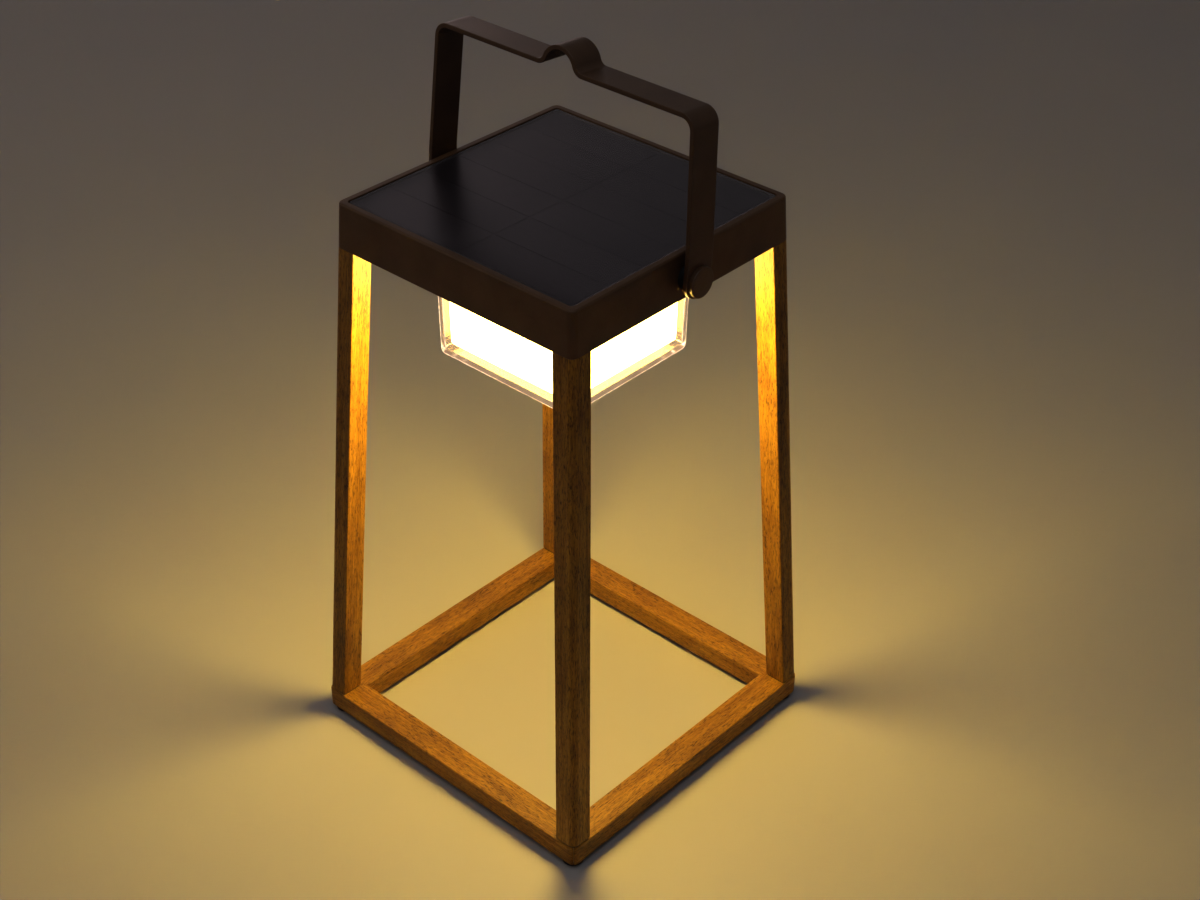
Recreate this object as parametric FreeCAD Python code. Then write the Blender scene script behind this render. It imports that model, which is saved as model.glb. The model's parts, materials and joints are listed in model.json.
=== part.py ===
import FreeCAD, Part
import math
import os

from FreeCAD import Vector

# Square solar lantern, millimetres, +Z up.  The origin is on the floor under
# the middle of the base.  The handle swings about an axis along X; the power
# button and the charging port are under the head, on the -Y side.

# ---- driving dimensions ----
BASE_HALF = 120.0           # half width of the base frame
RAIL_WIDTH = 20.0
RAIL_HEIGHT = 15.0
FOOT_HEIGHT = 4.0
FOOT_RADIUS = 8.0
LEG_SIDE = 16.0
LEG_GAP = 1.0               # thickness of the washer under each leg
LEG_FOOT_HALF = 119.4       # outer half width over the legs at their feet
HEAD_LOW_HALF = 99.7        # half width of the head at its lower edge
HEAD_TOP_HALF = 98.2
HEAD_BOTTOM = 376.0
HEAD_HEIGHT = 30.5
CORNER_RADIUS = 5.0         # upright outer corners of head, legs and base
CAVITY_HALF = 96.5          # inside of the head's walls
PANEL_RECESS_HALF = 93.4
PANEL_OPENING_HALF = 86.0
LAMP_LOW_HALF = 57.5        # clear lamp cover, outside, at its bottom
LAMP_TOP_HALF = 58.6
LAMP_BOTTOM = 298.1
LAMP_WALL = 4.0
PIVOT_HEIGHT = 390.0
STRAP_WIDTH = 22.5
STRAP_THICKNESS = 3.0
STRAP_LEAN = 3.2            # degrees that the handle's sides lean inwards
STRAP_INNER_HALF = 105.3    # inner face of the handle's ends
HANDLE_TOP = 103.5          # top of the grip above the pivot
HANDLE_REST_LEAN = 4.0      # degrees past upright, towards +Y
HUMP_SWEEP = 70.0           # degrees turned by each side of the hanging hump
GRAIN_GAP = 0.1             # half width of the line at each mitre

# ---- levels worked out from them ----
RAIL_TOP = FOOT_HEIGHT + RAIL_HEIGHT
LEG_FOOT = RAIL_TOP + LEG_GAP
HEAD_TOP = HEAD_BOTTOM + HEAD_HEIGHT
LEG_SHIFT = LEG_FOOT_HALF - HEAD_LOW_HALF
LEG_FOOT_CENTRE = LEG_FOOT_HALF - LEG_SIDE / 2
LEG_TOP_CENTRE = HEAD_LOW_HALF - LEG_SIDE / 2
PAD_INNER = LEG_TOP_CENTRE - LEG_SIDE / 2 - 0.2
PAD_TOP = HEAD_BOTTOM + 8.0
PLATE_LOW = HEAD_BOTTOM + 0.5
PLATE_TOP = PLATE_LOW + 2.5
LEDGE_TOP = HEAD_TOP - 5.9
LEDGE_LOW = LEDGE_TOP - 2.5
LAMP_FLANGE_LOW = PLATE_TOP + 1.0
LAMP_FLANGE_TOP = LAMP_FLANGE_LOW + 2.5
INNER_FLANGE_TOP = LAMP_FLANGE_TOP + 1.5
LAMP_PLATE_LOW = INNER_FLANGE_TOP + 0.1
LAMP_PLATE_TOP = LAMP_PLATE_LOW + 2.0
BOARD_LOW = PLATE_TOP + 7.0
BOARD_TOP = BOARD_LOW + 1.6

# ---- places of fasteners and inner parts ----
BOSS_OFFSET = 91.0
BOSS_SPACING = 45.0
LAMP_SCREW_OFFSET = 63.5
LAMP_SCREW_SPACING = 40.0
BUTTON_X = -20.0
PORT_X = 22.0
CONTROL_Y = -78.5
BATTERY_Y = 77.2
BATTERY_RADIUS = 9.2
BATTERY_LENGTH = 65.0
PORT_HINGE_Y = CONTROL_Y - 9.0
PORT_HINGE_Z = PLATE_LOW - 0.75

X_AXIS = Vector(1, 0, 0)
Y_AXIS = Vector(0, 1, 0)
Z_AXIS = Vector(0, 0, 1)
CORNERS = [(1, -1), (-1, -1), (1, 1), (-1, 1)]


# ---- small shape helpers ----
def rounded_square(half, radius, z):
    """Closed wire: a square of half width `half` with quarter-circle corners."""
    return rounded_rectangle(-half, -half, half, half, [radius] * 4, z)


def rounded_rectangle(x0, y0, x1, y1, radii, z):
    """Closed wire; radii are given for (x0,y0), (x1,y0), (x1,y1), (x0,y1)."""
    corners = [(x0, y0, 1, 1), (x1, y0, -1, 1), (x1, y1, -1, -1), (x0, y1, 1, -1)]
    start_angles = [180.0, 270.0, 0.0, 90.0]
    points = []
    for (x, y, sx, sy), radius, start in zip(corners, radii, start_angles):
        centre = Vector(x + sx * radius, y + sy * radius, z)
        ring = []
        for turn in (0.0, 45.0, 90.0):
            angle = math.radians(start + turn)
            ring.append(centre + Vector(math.cos(angle), math.sin(angle), 0) * radius)
        points.append(ring)
    edges = []
    for index, ring in enumerate(points):
        following = points[(index + 1) % 4]
        edges.append(Part.Arc(ring[0], ring[1], ring[2]).toShape())
        edges.append(Part.LineSegment(ring[2], following[0]).toShape())
    return Part.Wire(edges)


def prism(wire, height):
    """Upright solid on a closed wire."""
    return Part.Face(wire).extrude(Vector(0, 0, height))


def square_plate(half, radius, low, high):
    return prism(rounded_square(half, radius, low), high - low)


def square_ring(outer, inner, outer_radius, inner_radius, low, high):
    hole = square_plate(inner, inner_radius, low - 1, high + 1)
    return square_plate(outer, outer_radius, low, high).cut(hole)


def tapered_square(low_half, high_half, radius, low, high):
    """Four-sided block of flat faces whose upright corners are rounded to one radius."""
    height = high - low
    wedge = Part.makeWedge(-low_half, 0, -low_half, -high_half, -high_half,
                           low_half, height, low_half, high_half, high_half)
    wedge.rotate(Vector(), X_AXIS, 90)
    wedge.translate(Vector(0, 0, low))
    upright = [e for e in wedge.Edges if e.BoundBox.ZLength > height / 2]
    return wedge.makeFillet(radius, upright)


def box(x0, y0, z0, x1, y1, z1):
    return Part.makeBox(x1 - x0, y1 - y0, z1 - z0, Vector(x0, y0, z0))


def rod(x, y, low, high, radius):
    return Part.makeCylinder(radius, high - low, Vector(x, y, low))


def edges_at_height(shape, z):
    """Edges that lie whole in the level plane z."""
    return [e for e in shape.Edges if abs(e.BoundBox.ZMin - z) < 1e-4 and abs(e.BoundBox.ZMax - z) < 1e-4]


def group(solids):
    return Part.makeCompound(solids)


def four_sides(spacing, offset):
    """Two places on each side of a square: (x, y) pairs."""
    places = []
    for side in (-1, 1):
        for along in (-spacing, spacing):
            places.append((side * offset, along))
            places.append((along, side * offset))
    return places


def flat_head_screw(x, y, head_level, length, radius, head_radius):
    """Countersunk screw pointing up, its head flush with head_level."""
    cone_height = head_radius - radius
    cone = Part.makeCone(head_radius, radius, cone_height, Vector(x, y, head_level))
    screw = cone.fuse(rod(x, y, head_level + cone_height, head_level + length, radius))
    socket = rod(x, y, head_level - 1, head_level + 0.45 * cone_height + 0.6, radius * 0.6)
    return screw.cut(socket)


def flat_head_hole(x, y, head_level, top, radius, head_radius, clearance=0.15):
    cone_height = head_radius - radius
    wide = head_radius + clearance
    narrow = radius + clearance
    cone = Part.makeCone(wide, narrow, cone_height, Vector(x, y, head_level))
    below = rod(x, y, head_level - 1, head_level, wide)
    return cone.fuse([rod(x, y, head_level, top, narrow), below])


def pan_head_screw(x, y, seat, length, radius, head_radius, head_height):
    """Screw pointing down from the level of its seat, with a socket in its head."""
    head = rod(x, y, seat, seat + head_height, head_radius)
    screw = head.fuse(rod(x, y, seat - length, seat, radius))
    socket = rod(x, y, seat + 0.4 * head_height, seat + head_height + 1, radius * 0.6)
    return screw.cut(socket)


def tube_along(points, radius, bend):
    """Round wire of straight runs joined by tangent arcs of one bend radius."""
    corners = [Vector(*p) for p in points]
    edges = []
    last = corners[0]
    for before, here, after in zip(corners, corners[1:], corners[2:]):
        way_in = (here - before).normalize()
        way_out = (after - here).normalize()
        turn = way_in.getAngle(way_out)
        setback = bend * math.tan(turn / 2)
        arc_start = here - way_in * setback
        arc_end = here + way_out * setback
        bisector = (way_out - way_in).normalize()
        centre = here + bisector * (bend / math.cos(turn / 2))
        edges.append(Part.LineSegment(last, arc_start).toShape())
        edges.append(Part.Arc(arc_start, centre - bisector * bend, arc_end).toShape())
        last = arc_end
    edges.append(Part.LineSegment(last, corners[-1]).toShape())
    path = Part.Wire(edges)
    start_way = (corners[1] - corners[0]).normalize()
    profile = Part.Wire(Part.makeCircle(radius, corners[0], start_way))
    return path.makePipeShell([profile], True, False)


# ---- base frame ----
def corner_plate_outline(sx, sy, grow, low, high):
    """L-shaped plate under one corner of the base, grown sideways by `grow`."""
    near = BASE_HALF - RAIL_WIDTH + 3.0 - grow
    far = BASE_HALF - 3.0 + grow
    reach = BASE_HALF - 48.0 - grow
    first = box(reach, near, low, far, far, high)
    second = box(near, reach, low, far, far, high)
    plate = first.fuse(second).removeSplitter()
    if sx < 0:
        plate = plate.mirror(Vector(), X_AXIS)
    if sy < 0:
        plate = plate.mirror(Vector(), Y_AXIS)
    return plate


def corner_screw_places():
    middle = BASE_HALF - RAIL_WIDTH / 2
    arm = BASE_HALF - 40.0
    places = []
    for sx, sy in CORNERS:
        places.append((sx * middle, sy * arm))
        places.append((sx * arm, sy * middle))
    return places


def base_frame():
    """The whole mitred frame, rounded along its edges, before it is divided."""
    inner = BASE_HALF - RAIL_WIDTH
    frame = square_plate(BASE_HALF, CORNER_RADIUS, FOOT_HEIGHT, RAIL_TOP)
    frame = frame.makeFillet(1.2, edges_at_height(frame, RAIL_TOP) + edges_at_height(frame, FOOT_HEIGHT))
    frame = frame.cut(box(-inner, -inner, 0, inner, inner, RAIL_TOP + 5))
    edges = []
    for level in (RAIL_TOP, FOOT_HEIGHT):
        for edge in edges_at_height(frame, level):
            reach = max(abs(edge.BoundBox.XMin), abs(edge.BoundBox.XMax),
                        abs(edge.BoundBox.YMin), abs(edge.BoundBox.YMax))
            if reach < inner + 0.01:
                edges.append(edge)
    frame = frame.makeFillet(1.2, edges)
    for sx, sy in CORNERS:
        frame = frame.cut(corner_plate_outline(sx, sy, 0.2, FOOT_HEIGHT - 1, FOOT_HEIGHT + 2.0))
        frame = frame.cut(rod(sx * LEG_FOOT_CENTRE, sy * LEG_FOOT_CENTRE, 0, RAIL_TOP + 1, 2.25))
    for x, y in corner_screw_places():
        frame = frame.cut(rod(x, y, FOOT_HEIGHT, FOOT_HEIGHT + 12.2, 1.3))
    return frame


def base_rail(frame, turn):
    """One rail: the part of the frame in a quarter-turn wedge about the middle."""
    far = BASE_HALF + 10.0
    gap = GRAIN_GAP * math.sqrt(2)
    tip = Vector(0, -gap, 0)
    outline = [tip, Vector(far, -far - gap, 0), Vector(-far, -far - gap, 0), tip]
    wedge = prism(Part.makePolygon(outline), RAIL_TOP + 5)
    wedge.rotate(Vector(), Z_AXIS, turn)
    return frame.common(wedge)


def corner_plates():
    plates = []
    low = FOOT_HEIGHT
    for sx, sy in CORNERS:
        plate = corner_plate_outline(sx, sy, 0.0, low, low + 2.0)
        x, y = sx * LEG_FOOT_CENTRE, sy * LEG_FOOT_CENTRE
        plate = plate.cut(flat_head_hole(x, y, low, low + 5, 2.0, 3.9))
        for x, y in corner_screw_places():
            if x * sx > 0 and y * sy > 0:
                plate = plate.cut(flat_head_hole(x, y, low, low + 5, 1.5, 2.9))
        plates.append(plate)
    return group(plates)


def corner_plate_screws():
    return group([flat_head_screw(x, y, FOOT_HEIGHT, 12.0, 1.3, 2.8) for x, y in corner_screw_places()])


def leg_foot_screws():
    c = LEG_FOOT_CENTRE
    return group([flat_head_screw(sx * c, sy * c, FOOT_HEIGHT, 27.0, 1.95, 3.8) for sx, sy in CORNERS])


def feet():
    pads = []
    for sx, sy in CORNERS:
        centre = Vector(sx * LEG_FOOT_CENTRE, sy * LEG_FOOT_CENTRE, 0)
        pad = Part.makeCone(FOOT_RADIUS - 0.8, FOOT_RADIUS, FOOT_HEIGHT, centre)
        pads.append(pad.makeFillet(0.6, edges_at_height(pad, 0.0)))
    return group(pads)


def leg_washers():
    washers = []
    inset = 0.6
    for sx, sy in CORNERS:
        c = LEG_FOOT_CENTRE
        half = LEG_SIDE / 2 - inset
        radii = [1.0, 1.0, CORNER_RADIUS - inset, 1.0]
        outline = rounded_rectangle(-half, -half, half, half, radii, RAIL_TOP)
        washer = prism(outline, LEG_GAP).cut(rod(0, 0, RAIL_TOP - 1, LEG_FOOT + 1, 2.25))
        if sx < 0:
            washer = washer.mirror(Vector(), X_AXIS)
        if sy < 0:
            washer = washer.mirror(Vector(), Y_AXIS)
        washer.translate(Vector(sx * c, sy * c, 0))
        washers.append(washer)
    return group(washers)


# ---- legs ----
def leg(sx, sy):
    """Square post that leans in towards the head in both directions."""
    low = LEG_FOOT_HALF - LEG_SIDE
    outline = rounded_rectangle(low, low, LEG_FOOT_HALF, LEG_FOOT_HALF,
                                [0.8, 0.8, CORNER_RADIUS, 0.8], LEG_FOOT)
    lean = Vector(-LEG_SHIFT, -LEG_SHIFT, HEAD_BOTTOM - LEG_FOOT)
    post = Part.Face(outline).extrude(lean)
    post = post.cut(rod(LEG_FOOT_CENTRE, LEG_FOOT_CENTRE, LEG_FOOT - 1, LEG_FOOT + 13.0, 4.0))
    post = post.cut(rod(LEG_TOP_CENTRE, LEG_TOP_CENTRE, HEAD_BOTTOM - 19.0, HEAD_BOTTOM + 1, 4.0))
    if sx < 0:
        post = post.mirror(Vector(), X_AXIS)
    if sy < 0:
        post = post.mirror(Vector(), Y_AXIS)
    return post


def insert_sleeves(centre, low, high):
    """Threaded brass sleeves in the four legs, between two levels."""
    sleeves = []
    for sx, sy in CORNERS:
        x, y = sx * centre, sy * centre
        sleeves.append(rod(x, y, low, high, 4.0).cut(rod(x, y, low - 1, high + 1, 2.0)))
    return group(sleeves)


def leg_top_screws():
    c = LEG_TOP_CENTRE
    return group([pan_head_screw(sx * c, sy * c, PAD_TOP, 24.0, 1.95, 3.8, 3.0) for sx, sy in CORNERS])


# ---- head ----
def head_housing():
    """Tapered tray, open below, with a ledge and a recess for the panel on top."""
    shell = tapered_square(HEAD_LOW_HALF, HEAD_TOP_HALF, CORNER_RADIUS, HEAD_BOTTOM, HEAD_TOP)
    shell = shell.makeFillet(1.5, edges_at_height(shell, HEAD_TOP))
    shell = shell.cut(square_plate(CAVITY_HALF, 3.0, HEAD_BOTTOM - 1, LEDGE_LOW))
    shell = shell.cut(square_plate(PANEL_OPENING_HALF, 3.0, LEDGE_LOW - 1, LEDGE_TOP + 1))
    shell = shell.cut(square_plate(PANEL_RECESS_HALF, 2.6, LEDGE_TOP, HEAD_TOP + 1))
    inside = CAVITY_HALF + 0.5
    for sx, sy in CORNERS:
        pad = box(PAD_INNER, PAD_INNER, HEAD_BOTTOM, inside, inside, PAD_TOP)
        if sx < 0:
            pad = pad.mirror(Vector(), X_AXIS)
        if sy < 0:
            pad = pad.mirror(Vector(), Y_AXIS)
        shell = shell.fuse(pad)
    for x, y in four_sides(BOSS_SPACING, BOSS_OFFSET):
        shell = shell.fuse(screw_boss(x, y))
    for side in (-1, 1):
        low, high = sorted((side * BOSS_OFFSET, side * inside))
        shell = shell.fuse(box(low, -10, PIVOT_HEIGHT - 9, high, 10, LEDGE_LOW))
    for sx, sy in CORNERS:
        shell = shell.cut(rod(sx * LEG_TOP_CENTRE, sy * LEG_TOP_CENTRE, HEAD_BOTTOM - 1, PAD_TOP + 1, 2.25))
    for x, y in four_sides(BOSS_SPACING, BOSS_OFFSET):
        shell = shell.cut(rod(x, y, PLATE_TOP - 1, PLATE_TOP + 12, 1.45))
    for side in (-1, 1):
        start = side * BOSS_OFFSET - side * 1.0
        shell = shell.cut(side_rod(start, side * 110.0, 3.1))
        shell = shell.cut(side_rod(side * 98.2, side * 110.0, 8.2))
    return shell.removeSplitter()


def screw_boss(x, y):
    """Square column from the ledge down to the bottom plate, against the wall."""
    half = 4.0
    inside = CAVITY_HALF + 0.5
    if abs(x) > abs(y):
        low, high = sorted((math.copysign(BOSS_OFFSET - half, x), math.copysign(inside, x)))
        return box(low, y - half, PLATE_TOP, high, y + half, LEDGE_LOW)
    low, high = sorted((math.copysign(BOSS_OFFSET - half, y), math.copysign(inside, y)))
    return box(x - half, low, PLATE_TOP, x + half, high, LEDGE_LOW)


def side_rod(x0, x1, radius):
    """Round bar along X through the handle's pivot."""
    low, high = sorted((x0, x1))
    return Part.makeCylinder(radius, high - low, Vector(low, 0, PIVOT_HEIGHT), X_AXIS)


def bottom_plate():
    plate = square_plate(CAVITY_HALF - 0.3, 2.8, PLATE_LOW, PLATE_TOP)
    plate = plate.cut(square_plate(LAMP_TOP_HALF + 0.6, 7.6, PLATE_LOW - 1, PLATE_TOP + 1))
    notch = PAD_INNER - 0.3
    for sx, sy in CORNERS:
        corner = box(notch, notch, PLATE_LOW - 1, CAVITY_HALF + 1, CAVITY_HALF + 1, PLATE_TOP + 1)
        if sx < 0:
            corner = corner.mirror(Vector(), X_AXIS)
        if sy < 0:
            corner = corner.mirror(Vector(), Y_AXIS)
        plate = plate.cut(corner)
    for x, y in four_sides(BOSS_SPACING, BOSS_OFFSET):
        plate = plate.cut(flat_head_hole(x, y, PLATE_LOW, PLATE_TOP + 1, 1.45, 2.9))
    for x, y in four_sides(LAMP_SCREW_SPACING, LAMP_SCREW_OFFSET):
        plate = plate.cut(rod(x, y, PLATE_LOW - 1, PLATE_TOP + 1, 1.3))
    plate = plate.cut(rod(BUTTON_X, CONTROL_Y, PLATE_LOW - 1, PLATE_TOP + 1, 6.3))
    plate = plate.cut(prism(port_outline(6.0, 3.0, 2.9, PLATE_LOW - 1), 6.0))
    plate = plate.cut(rod(PORT_X, PORT_HINGE_Y - 2.5, PLATE_LOW - 1, PLATE_TOP + 1, 1.1))
    return plate


def bottom_plate_screws():
    places = four_sides(BOSS_SPACING, BOSS_OFFSET)
    return group([flat_head_screw(x, y, PLATE_LOW, 12.0, 1.45, 2.8) for x, y in places])


# ---- solar panel ----
def panel_glass():
    glass = square_plate(PANEL_RECESS_HALF - 0.7, 2.0, LEDGE_TOP + 2.4, HEAD_TOP - 0.4)
    return glass.makeChamfer(0.4, edges_at_height(glass, HEAD_TOP - 0.4))


def solar_cells():
    """Two columns of six strips on the back of the glass."""
    strips = []
    pitch = 30.0
    for row in range(6):
        for side in (-1, 1):
            y = (row - 2.5) * pitch
            x0, x1 = sorted((side * 1.0, side * 90.0))
            strips.append(box(x0, y - 14.5, LEDGE_TOP + 2.0, x1, y + 14.5, LEDGE_TOP + 2.4))
    return group(strips)


def panel_backsheet():
    return square_plate(PANEL_RECESS_HALF - 1.2, 2.0, LEDGE_TOP + 1.0, LEDGE_TOP + 2.0)


def panel_gasket():
    outer = PANEL_RECESS_HALF - 0.4
    inner = PANEL_OPENING_HALF + 1.0
    return square_ring(outer, inner, 2.2, 2.0, LEDGE_TOP, LEDGE_TOP + 1.0)


def panel_junction_box():
    return box(-18, -52, LEDGE_TOP - 4.5, 18, -34, LEDGE_TOP + 1.0)


def panel_leads():
    """Pair of wires from the panel's junction box down to the control board."""
    wires = []
    for x in (-7.0, -3.5):
        high = LEDGE_TOP - 2
        low = BOARD_TOP + 6
        route = [(x, -52, high), (x, -57, high), (x, -62, low), (x, CONTROL_Y + 10.5, low)]
        wires.append(tube_along(route, 0.8, 3.0))
    return group(wires)


# ---- battery ----
def battery_cells():
    cells = []
    z = PLATE_TOP + 1.5 + BATTERY_RADIUS + 0.1
    for side in (-1, 1):
        start = side * 1.0 if side > 0 else -1.0 - BATTERY_LENGTH
        cell = Part.makeCylinder(BATTERY_RADIUS, BATTERY_LENGTH, Vector(start, BATTERY_Y, z), X_AXIS)
        cells.append(cell.makeFillet(0.8, [e for e in cell.Edges if len(e.Vertexes) == 1]))
    return group(cells)


def battery_holder():
    """Tray with two end walls, its floor hollowed to seat the cells."""
    z = PLATE_TOP + 1.5 + BATTERY_RADIUS + 0.1
    reach = BATTERY_LENGTH + 3.5
    wide = BATTERY_RADIUS + 0.3
    tray = box(-reach, BATTERY_Y - wide, PLATE_TOP, reach, BATTERY_Y + wide, PLATE_TOP + 6.0)
    bed_start = Vector(-BATTERY_LENGTH - 1.5, BATTERY_Y, z)
    bed = Part.makeCylinder(BATTERY_RADIUS + 0.1, 2 * BATTERY_LENGTH + 3, bed_start, X_AXIS)
    tray = tray.cut(bed)
    for side in (-1, 1):
        x0, x1 = sorted((side * (reach - 1.8), side * reach))
        tray = tray.fuse(box(x0, BATTERY_Y - wide, PLATE_TOP, x1, BATTERY_Y + wide, PLATE_TOP + 17.0))
    return tray.removeSplitter()


def battery_clamp():
    """Band over the middle of the two cells, with a foot each side."""
    z = PLATE_TOP + 1.5 + BATTERY_RADIUS + 0.1
    inner = BATTERY_RADIUS + 0.2
    outer = inner + 0.8
    clamp = Part.makeCylinder(outer, 12, Vector(-6, BATTERY_Y, z), X_AXIS)
    clamp = clamp.fuse(box(-6, BATTERY_Y - outer, PLATE_TOP + 6.2, 6, BATTERY_Y + outer, z))
    clamp = clamp.cut(Part.makeCylinder(inner, 20, Vector(-10, BATTERY_Y, z), X_AXIS))
    return clamp.cut(box(-10, BATTERY_Y - inner, PLATE_TOP, 10, BATTERY_Y + inner, z))


def battery_leads():
    """Pair of wires from the battery round the lamp plate to the control board."""
    wires = []
    reach = BATTERY_LENGTH + 3.5
    for step in (0.0, 2.2):
        x = -reach - 2.5 - step
        z = PLATE_TOP + 12 + step
        near = BATTERY_Y - 3 - step
        plug = CONTROL_Y - step
        route = [(-reach, near, z), (x, near, z), (x, plug, z), (-36, plug, z)]
        wires.append(tube_along(route, 0.8, 2.4))
    return group(wires)


# ---- controls ----
def control_board():
    board = box(-38, CONTROL_Y - 11.5, BOARD_LOW, 38, CONTROL_Y + 11.5, BOARD_TOP)
    for x, y in board_screw_places():
        board = board.cut(rod(x, y, BOARD_LOW - 1, BOARD_TOP + 1, 1.3))
    return board


def board_screw_places():
    return [(sx * 34.0, CONTROL_Y + sy * 8.5) for sx, sy in CORNERS]


def board_standoffs():
    posts = []
    for x, y in board_screw_places():
        posts.append(rod(x, y, PLATE_TOP, BOARD_LOW, 2.5).cut(rod(x, y, PLATE_TOP + 1, BOARD_LOW + 1, 1.2)))
    return group(posts)


def board_screws():
    return group([pan_head_screw(x, y, BOARD_TOP, 6.0, 1.15, 2.2, 1.6) for x, y in board_screw_places()])


def control_components():
    """Inductor, capacitors, chips and plugs on top of the control board."""
    z = BOARD_TOP
    y = CONTROL_Y
    parts = [box(8, y - 4, z, 16, y + 4, z + 5), box(-12, y - 5, z, -4, y + 1, z + 1.4)]
    parts.append(box(-26, y - 4, z, -20, y + 2, z + 1.2))
    parts.append(box(-9.5, y + 4.5, z, -1.0, y + 10.5, z + 8.5))
    parts.append(box(-36, y - 4.5, z, -29, y + 1.5, z + 9.5))
    parts.append(box(20, y + 4.5, z, 28, y + 10.5, z + 8.5))
    for x in (1.0, 22.0):
        parts.append(rod(x, y - 4, z, z + 7.5, 3.1))
    for index in range(4):
        x = -18 + 2.4 * index
        parts.append(box(x, y + 7, z, x + 1.2, y + 9, z + 0.6))
    return group(parts)


def tactile_switch():
    low = BOARD_LOW - 3.5
    body = box(BUTTON_X - 3, CONTROL_Y - 3, low, BUTTON_X + 3, CONTROL_Y + 3, BOARD_LOW)
    return body.cut(rod(BUTTON_X, CONTROL_Y, low - 1, low + 1.5, 1.75))


def switch_plunger():
    low = BOARD_LOW - 4.6
    return rod(BUTTON_X, CONTROL_Y, low, low + 1.8, 1.7)


def power_button():
    """Round cap that shows under the head, its collar inside and its stem up."""
    cap = rod(BUTTON_X, CONTROL_Y, PLATE_LOW - 1.5, PLATE_TOP + 0.25, 6.1)
    cap = cap.makeFillet(0.8, edges_at_height(cap, PLATE_LOW - 1.5))
    collar = rod(BUTTON_X, CONTROL_Y, PLATE_TOP + 0.05, PLATE_TOP + 1.05, 7.6)
    stem = rod(BUTTON_X, CONTROL_Y, PLATE_TOP + 1.05, BOARD_LOW - 4.6, 2.5)
    return cap.fuse([collar, stem]).removeSplitter()


def port_outline(half_x, half_y, radius, z):
    """Rounded rectangle centred on the charging port."""
    x0, x1 = PORT_X - half_x, PORT_X + half_x
    return rounded_rectangle(x0, CONTROL_Y - half_y, x1, CONTROL_Y + half_y, [radius] * 4, z)


def charge_port():
    low = PLATE_TOP - 0.4
    body = port_outline(4.5, 1.6, 1.5, low)
    mouth = port_outline(4.15, 1.25, 1.2, low - 1)
    tongue = box(PORT_X - 3.3, CONTROL_Y - 0.35, low + 0.8, PORT_X + 3.3, CONTROL_Y + 0.35, BOARD_LOW - 1)
    return prism(body, BOARD_LOW - low).cut(prism(mouth, 7.0)).fuse(tongue)


def port_cover():
    """Soft flap under the charging port, with a lip that fits the slot."""
    thick = 1.2
    low = PORT_HINGE_Z - thick / 2
    near = PORT_HINGE_Y
    flap = rounded_rectangle(PORT_X - 9, near, PORT_X + 9, CONTROL_Y + 5.5, [0.5, 0.5, 2.5, 2.5], low)
    flap = prism(flap, thick)
    knuckle = Part.makeCylinder(0.45 * thick, 16, Vector(PORT_X - 8, near, PORT_HINGE_Z), X_AXIS)
    lip = port_outline(5.5, 2.5, 2.4, low + thick)
    return flap.fuse([knuckle, prism(lip, 1.3)]).removeSplitter()


def port_cover_anchor():
    """Fixed end of the flap, held by a barb through the bottom plate."""
    edge = PORT_HINGE_Y - 1.0
    low = PORT_HINGE_Z - 0.6
    tab = box(PORT_X - 9, edge - 4, low, PORT_X + 9, edge, PLATE_LOW)
    post = rod(PORT_X, PORT_HINGE_Y - 2.5, PLATE_LOW - 0.5, PLATE_TOP + 0.3, 1.0)
    barb = Part.makeCone(1.6, 0.8, 1.4, Vector(PORT_X, PORT_HINGE_Y - 2.5, PLATE_TOP + 0.1))
    return tab.fuse([post, barb]).removeSplitter()


# ---- lamp ----
def lamp_shell(low_half, high_half, radius, low, high, wall, floor):
    """Open-topped box with a slight draft and one wall thickness."""
    outer = tapered_square(low_half, high_half, radius, low, high)
    outer = outer.makeFillet(radius * 0.5, edges_at_height(outer, low))
    slope = (high_half - low_half) / (high - low)
    inner_low = low_half - wall + slope * floor
    inner_high = high_half - wall + slope
    inner = tapered_square(inner_low, inner_high, max(radius - wall, 1.5), low + floor, high + 1)
    inner = inner.makeFillet(1.2, edges_at_height(inner, low + floor))
    return outer.cut(inner)


def diffuser_outer():
    """Clear cover: box with rounded corners and a flange over the bottom plate."""
    halves = (LAMP_LOW_HALF, LAMP_TOP_HALF)
    shell = lamp_shell(*halves, 7.0, LAMP_BOTTOM, LAMP_FLANGE_TOP, LAMP_WALL, LAMP_WALL)
    flange = square_ring(60.5, LAMP_TOP_HALF - 1.0, 8.5, 6.0, LAMP_FLANGE_LOW, LAMP_FLANGE_TOP)
    return shell.fuse(flange).removeSplitter()


def diffuser_inner():
    """Frosted cup inside the clear cover, hung from its own flange."""
    top = INNER_FLANGE_TOP
    shell = lamp_shell(51.0, 51.9, 4.5, LAMP_BOTTOM + 7.4, top, 2.0, 2.0)
    flange = square_ring(59.5, 51.0, 7.0, 4.0, LAMP_FLANGE_TOP + 0.05, top)
    return shell.fuse(flange).removeSplitter()


def diffuser_gasket():
    return square_ring(60.5, LAMP_TOP_HALF + 0.8, 8.5, 7.8, PLATE_TOP, LAMP_FLANGE_LOW)


def lamp_plate():
    """Aluminium plate that clamps the two cups and carries the lamp board."""
    plate = square_plate(66.0, 3.0, LAMP_PLATE_LOW, LAMP_PLATE_TOP)
    for x, y in four_sides(LAMP_SCREW_SPACING, LAMP_SCREW_OFFSET):
        plate = plate.cut(rod(x, y, LAMP_PLATE_LOW - 1, LAMP_PLATE_TOP + 1, 1.4))
    return plate.cut(rod(0, -50, LAMP_PLATE_LOW - 1, LAMP_PLATE_TOP + 1, 3.0))


def lamp_plate_spacers():
    posts = []
    for x, y in four_sides(LAMP_SCREW_SPACING, LAMP_SCREW_OFFSET):
        post = rod(x, y, PLATE_TOP, LAMP_PLATE_LOW, 2.4)
        posts.append(post.cut(rod(x, y, PLATE_TOP - 1, LAMP_PLATE_LOW + 1, 1.3)))
    return group(posts)


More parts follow.
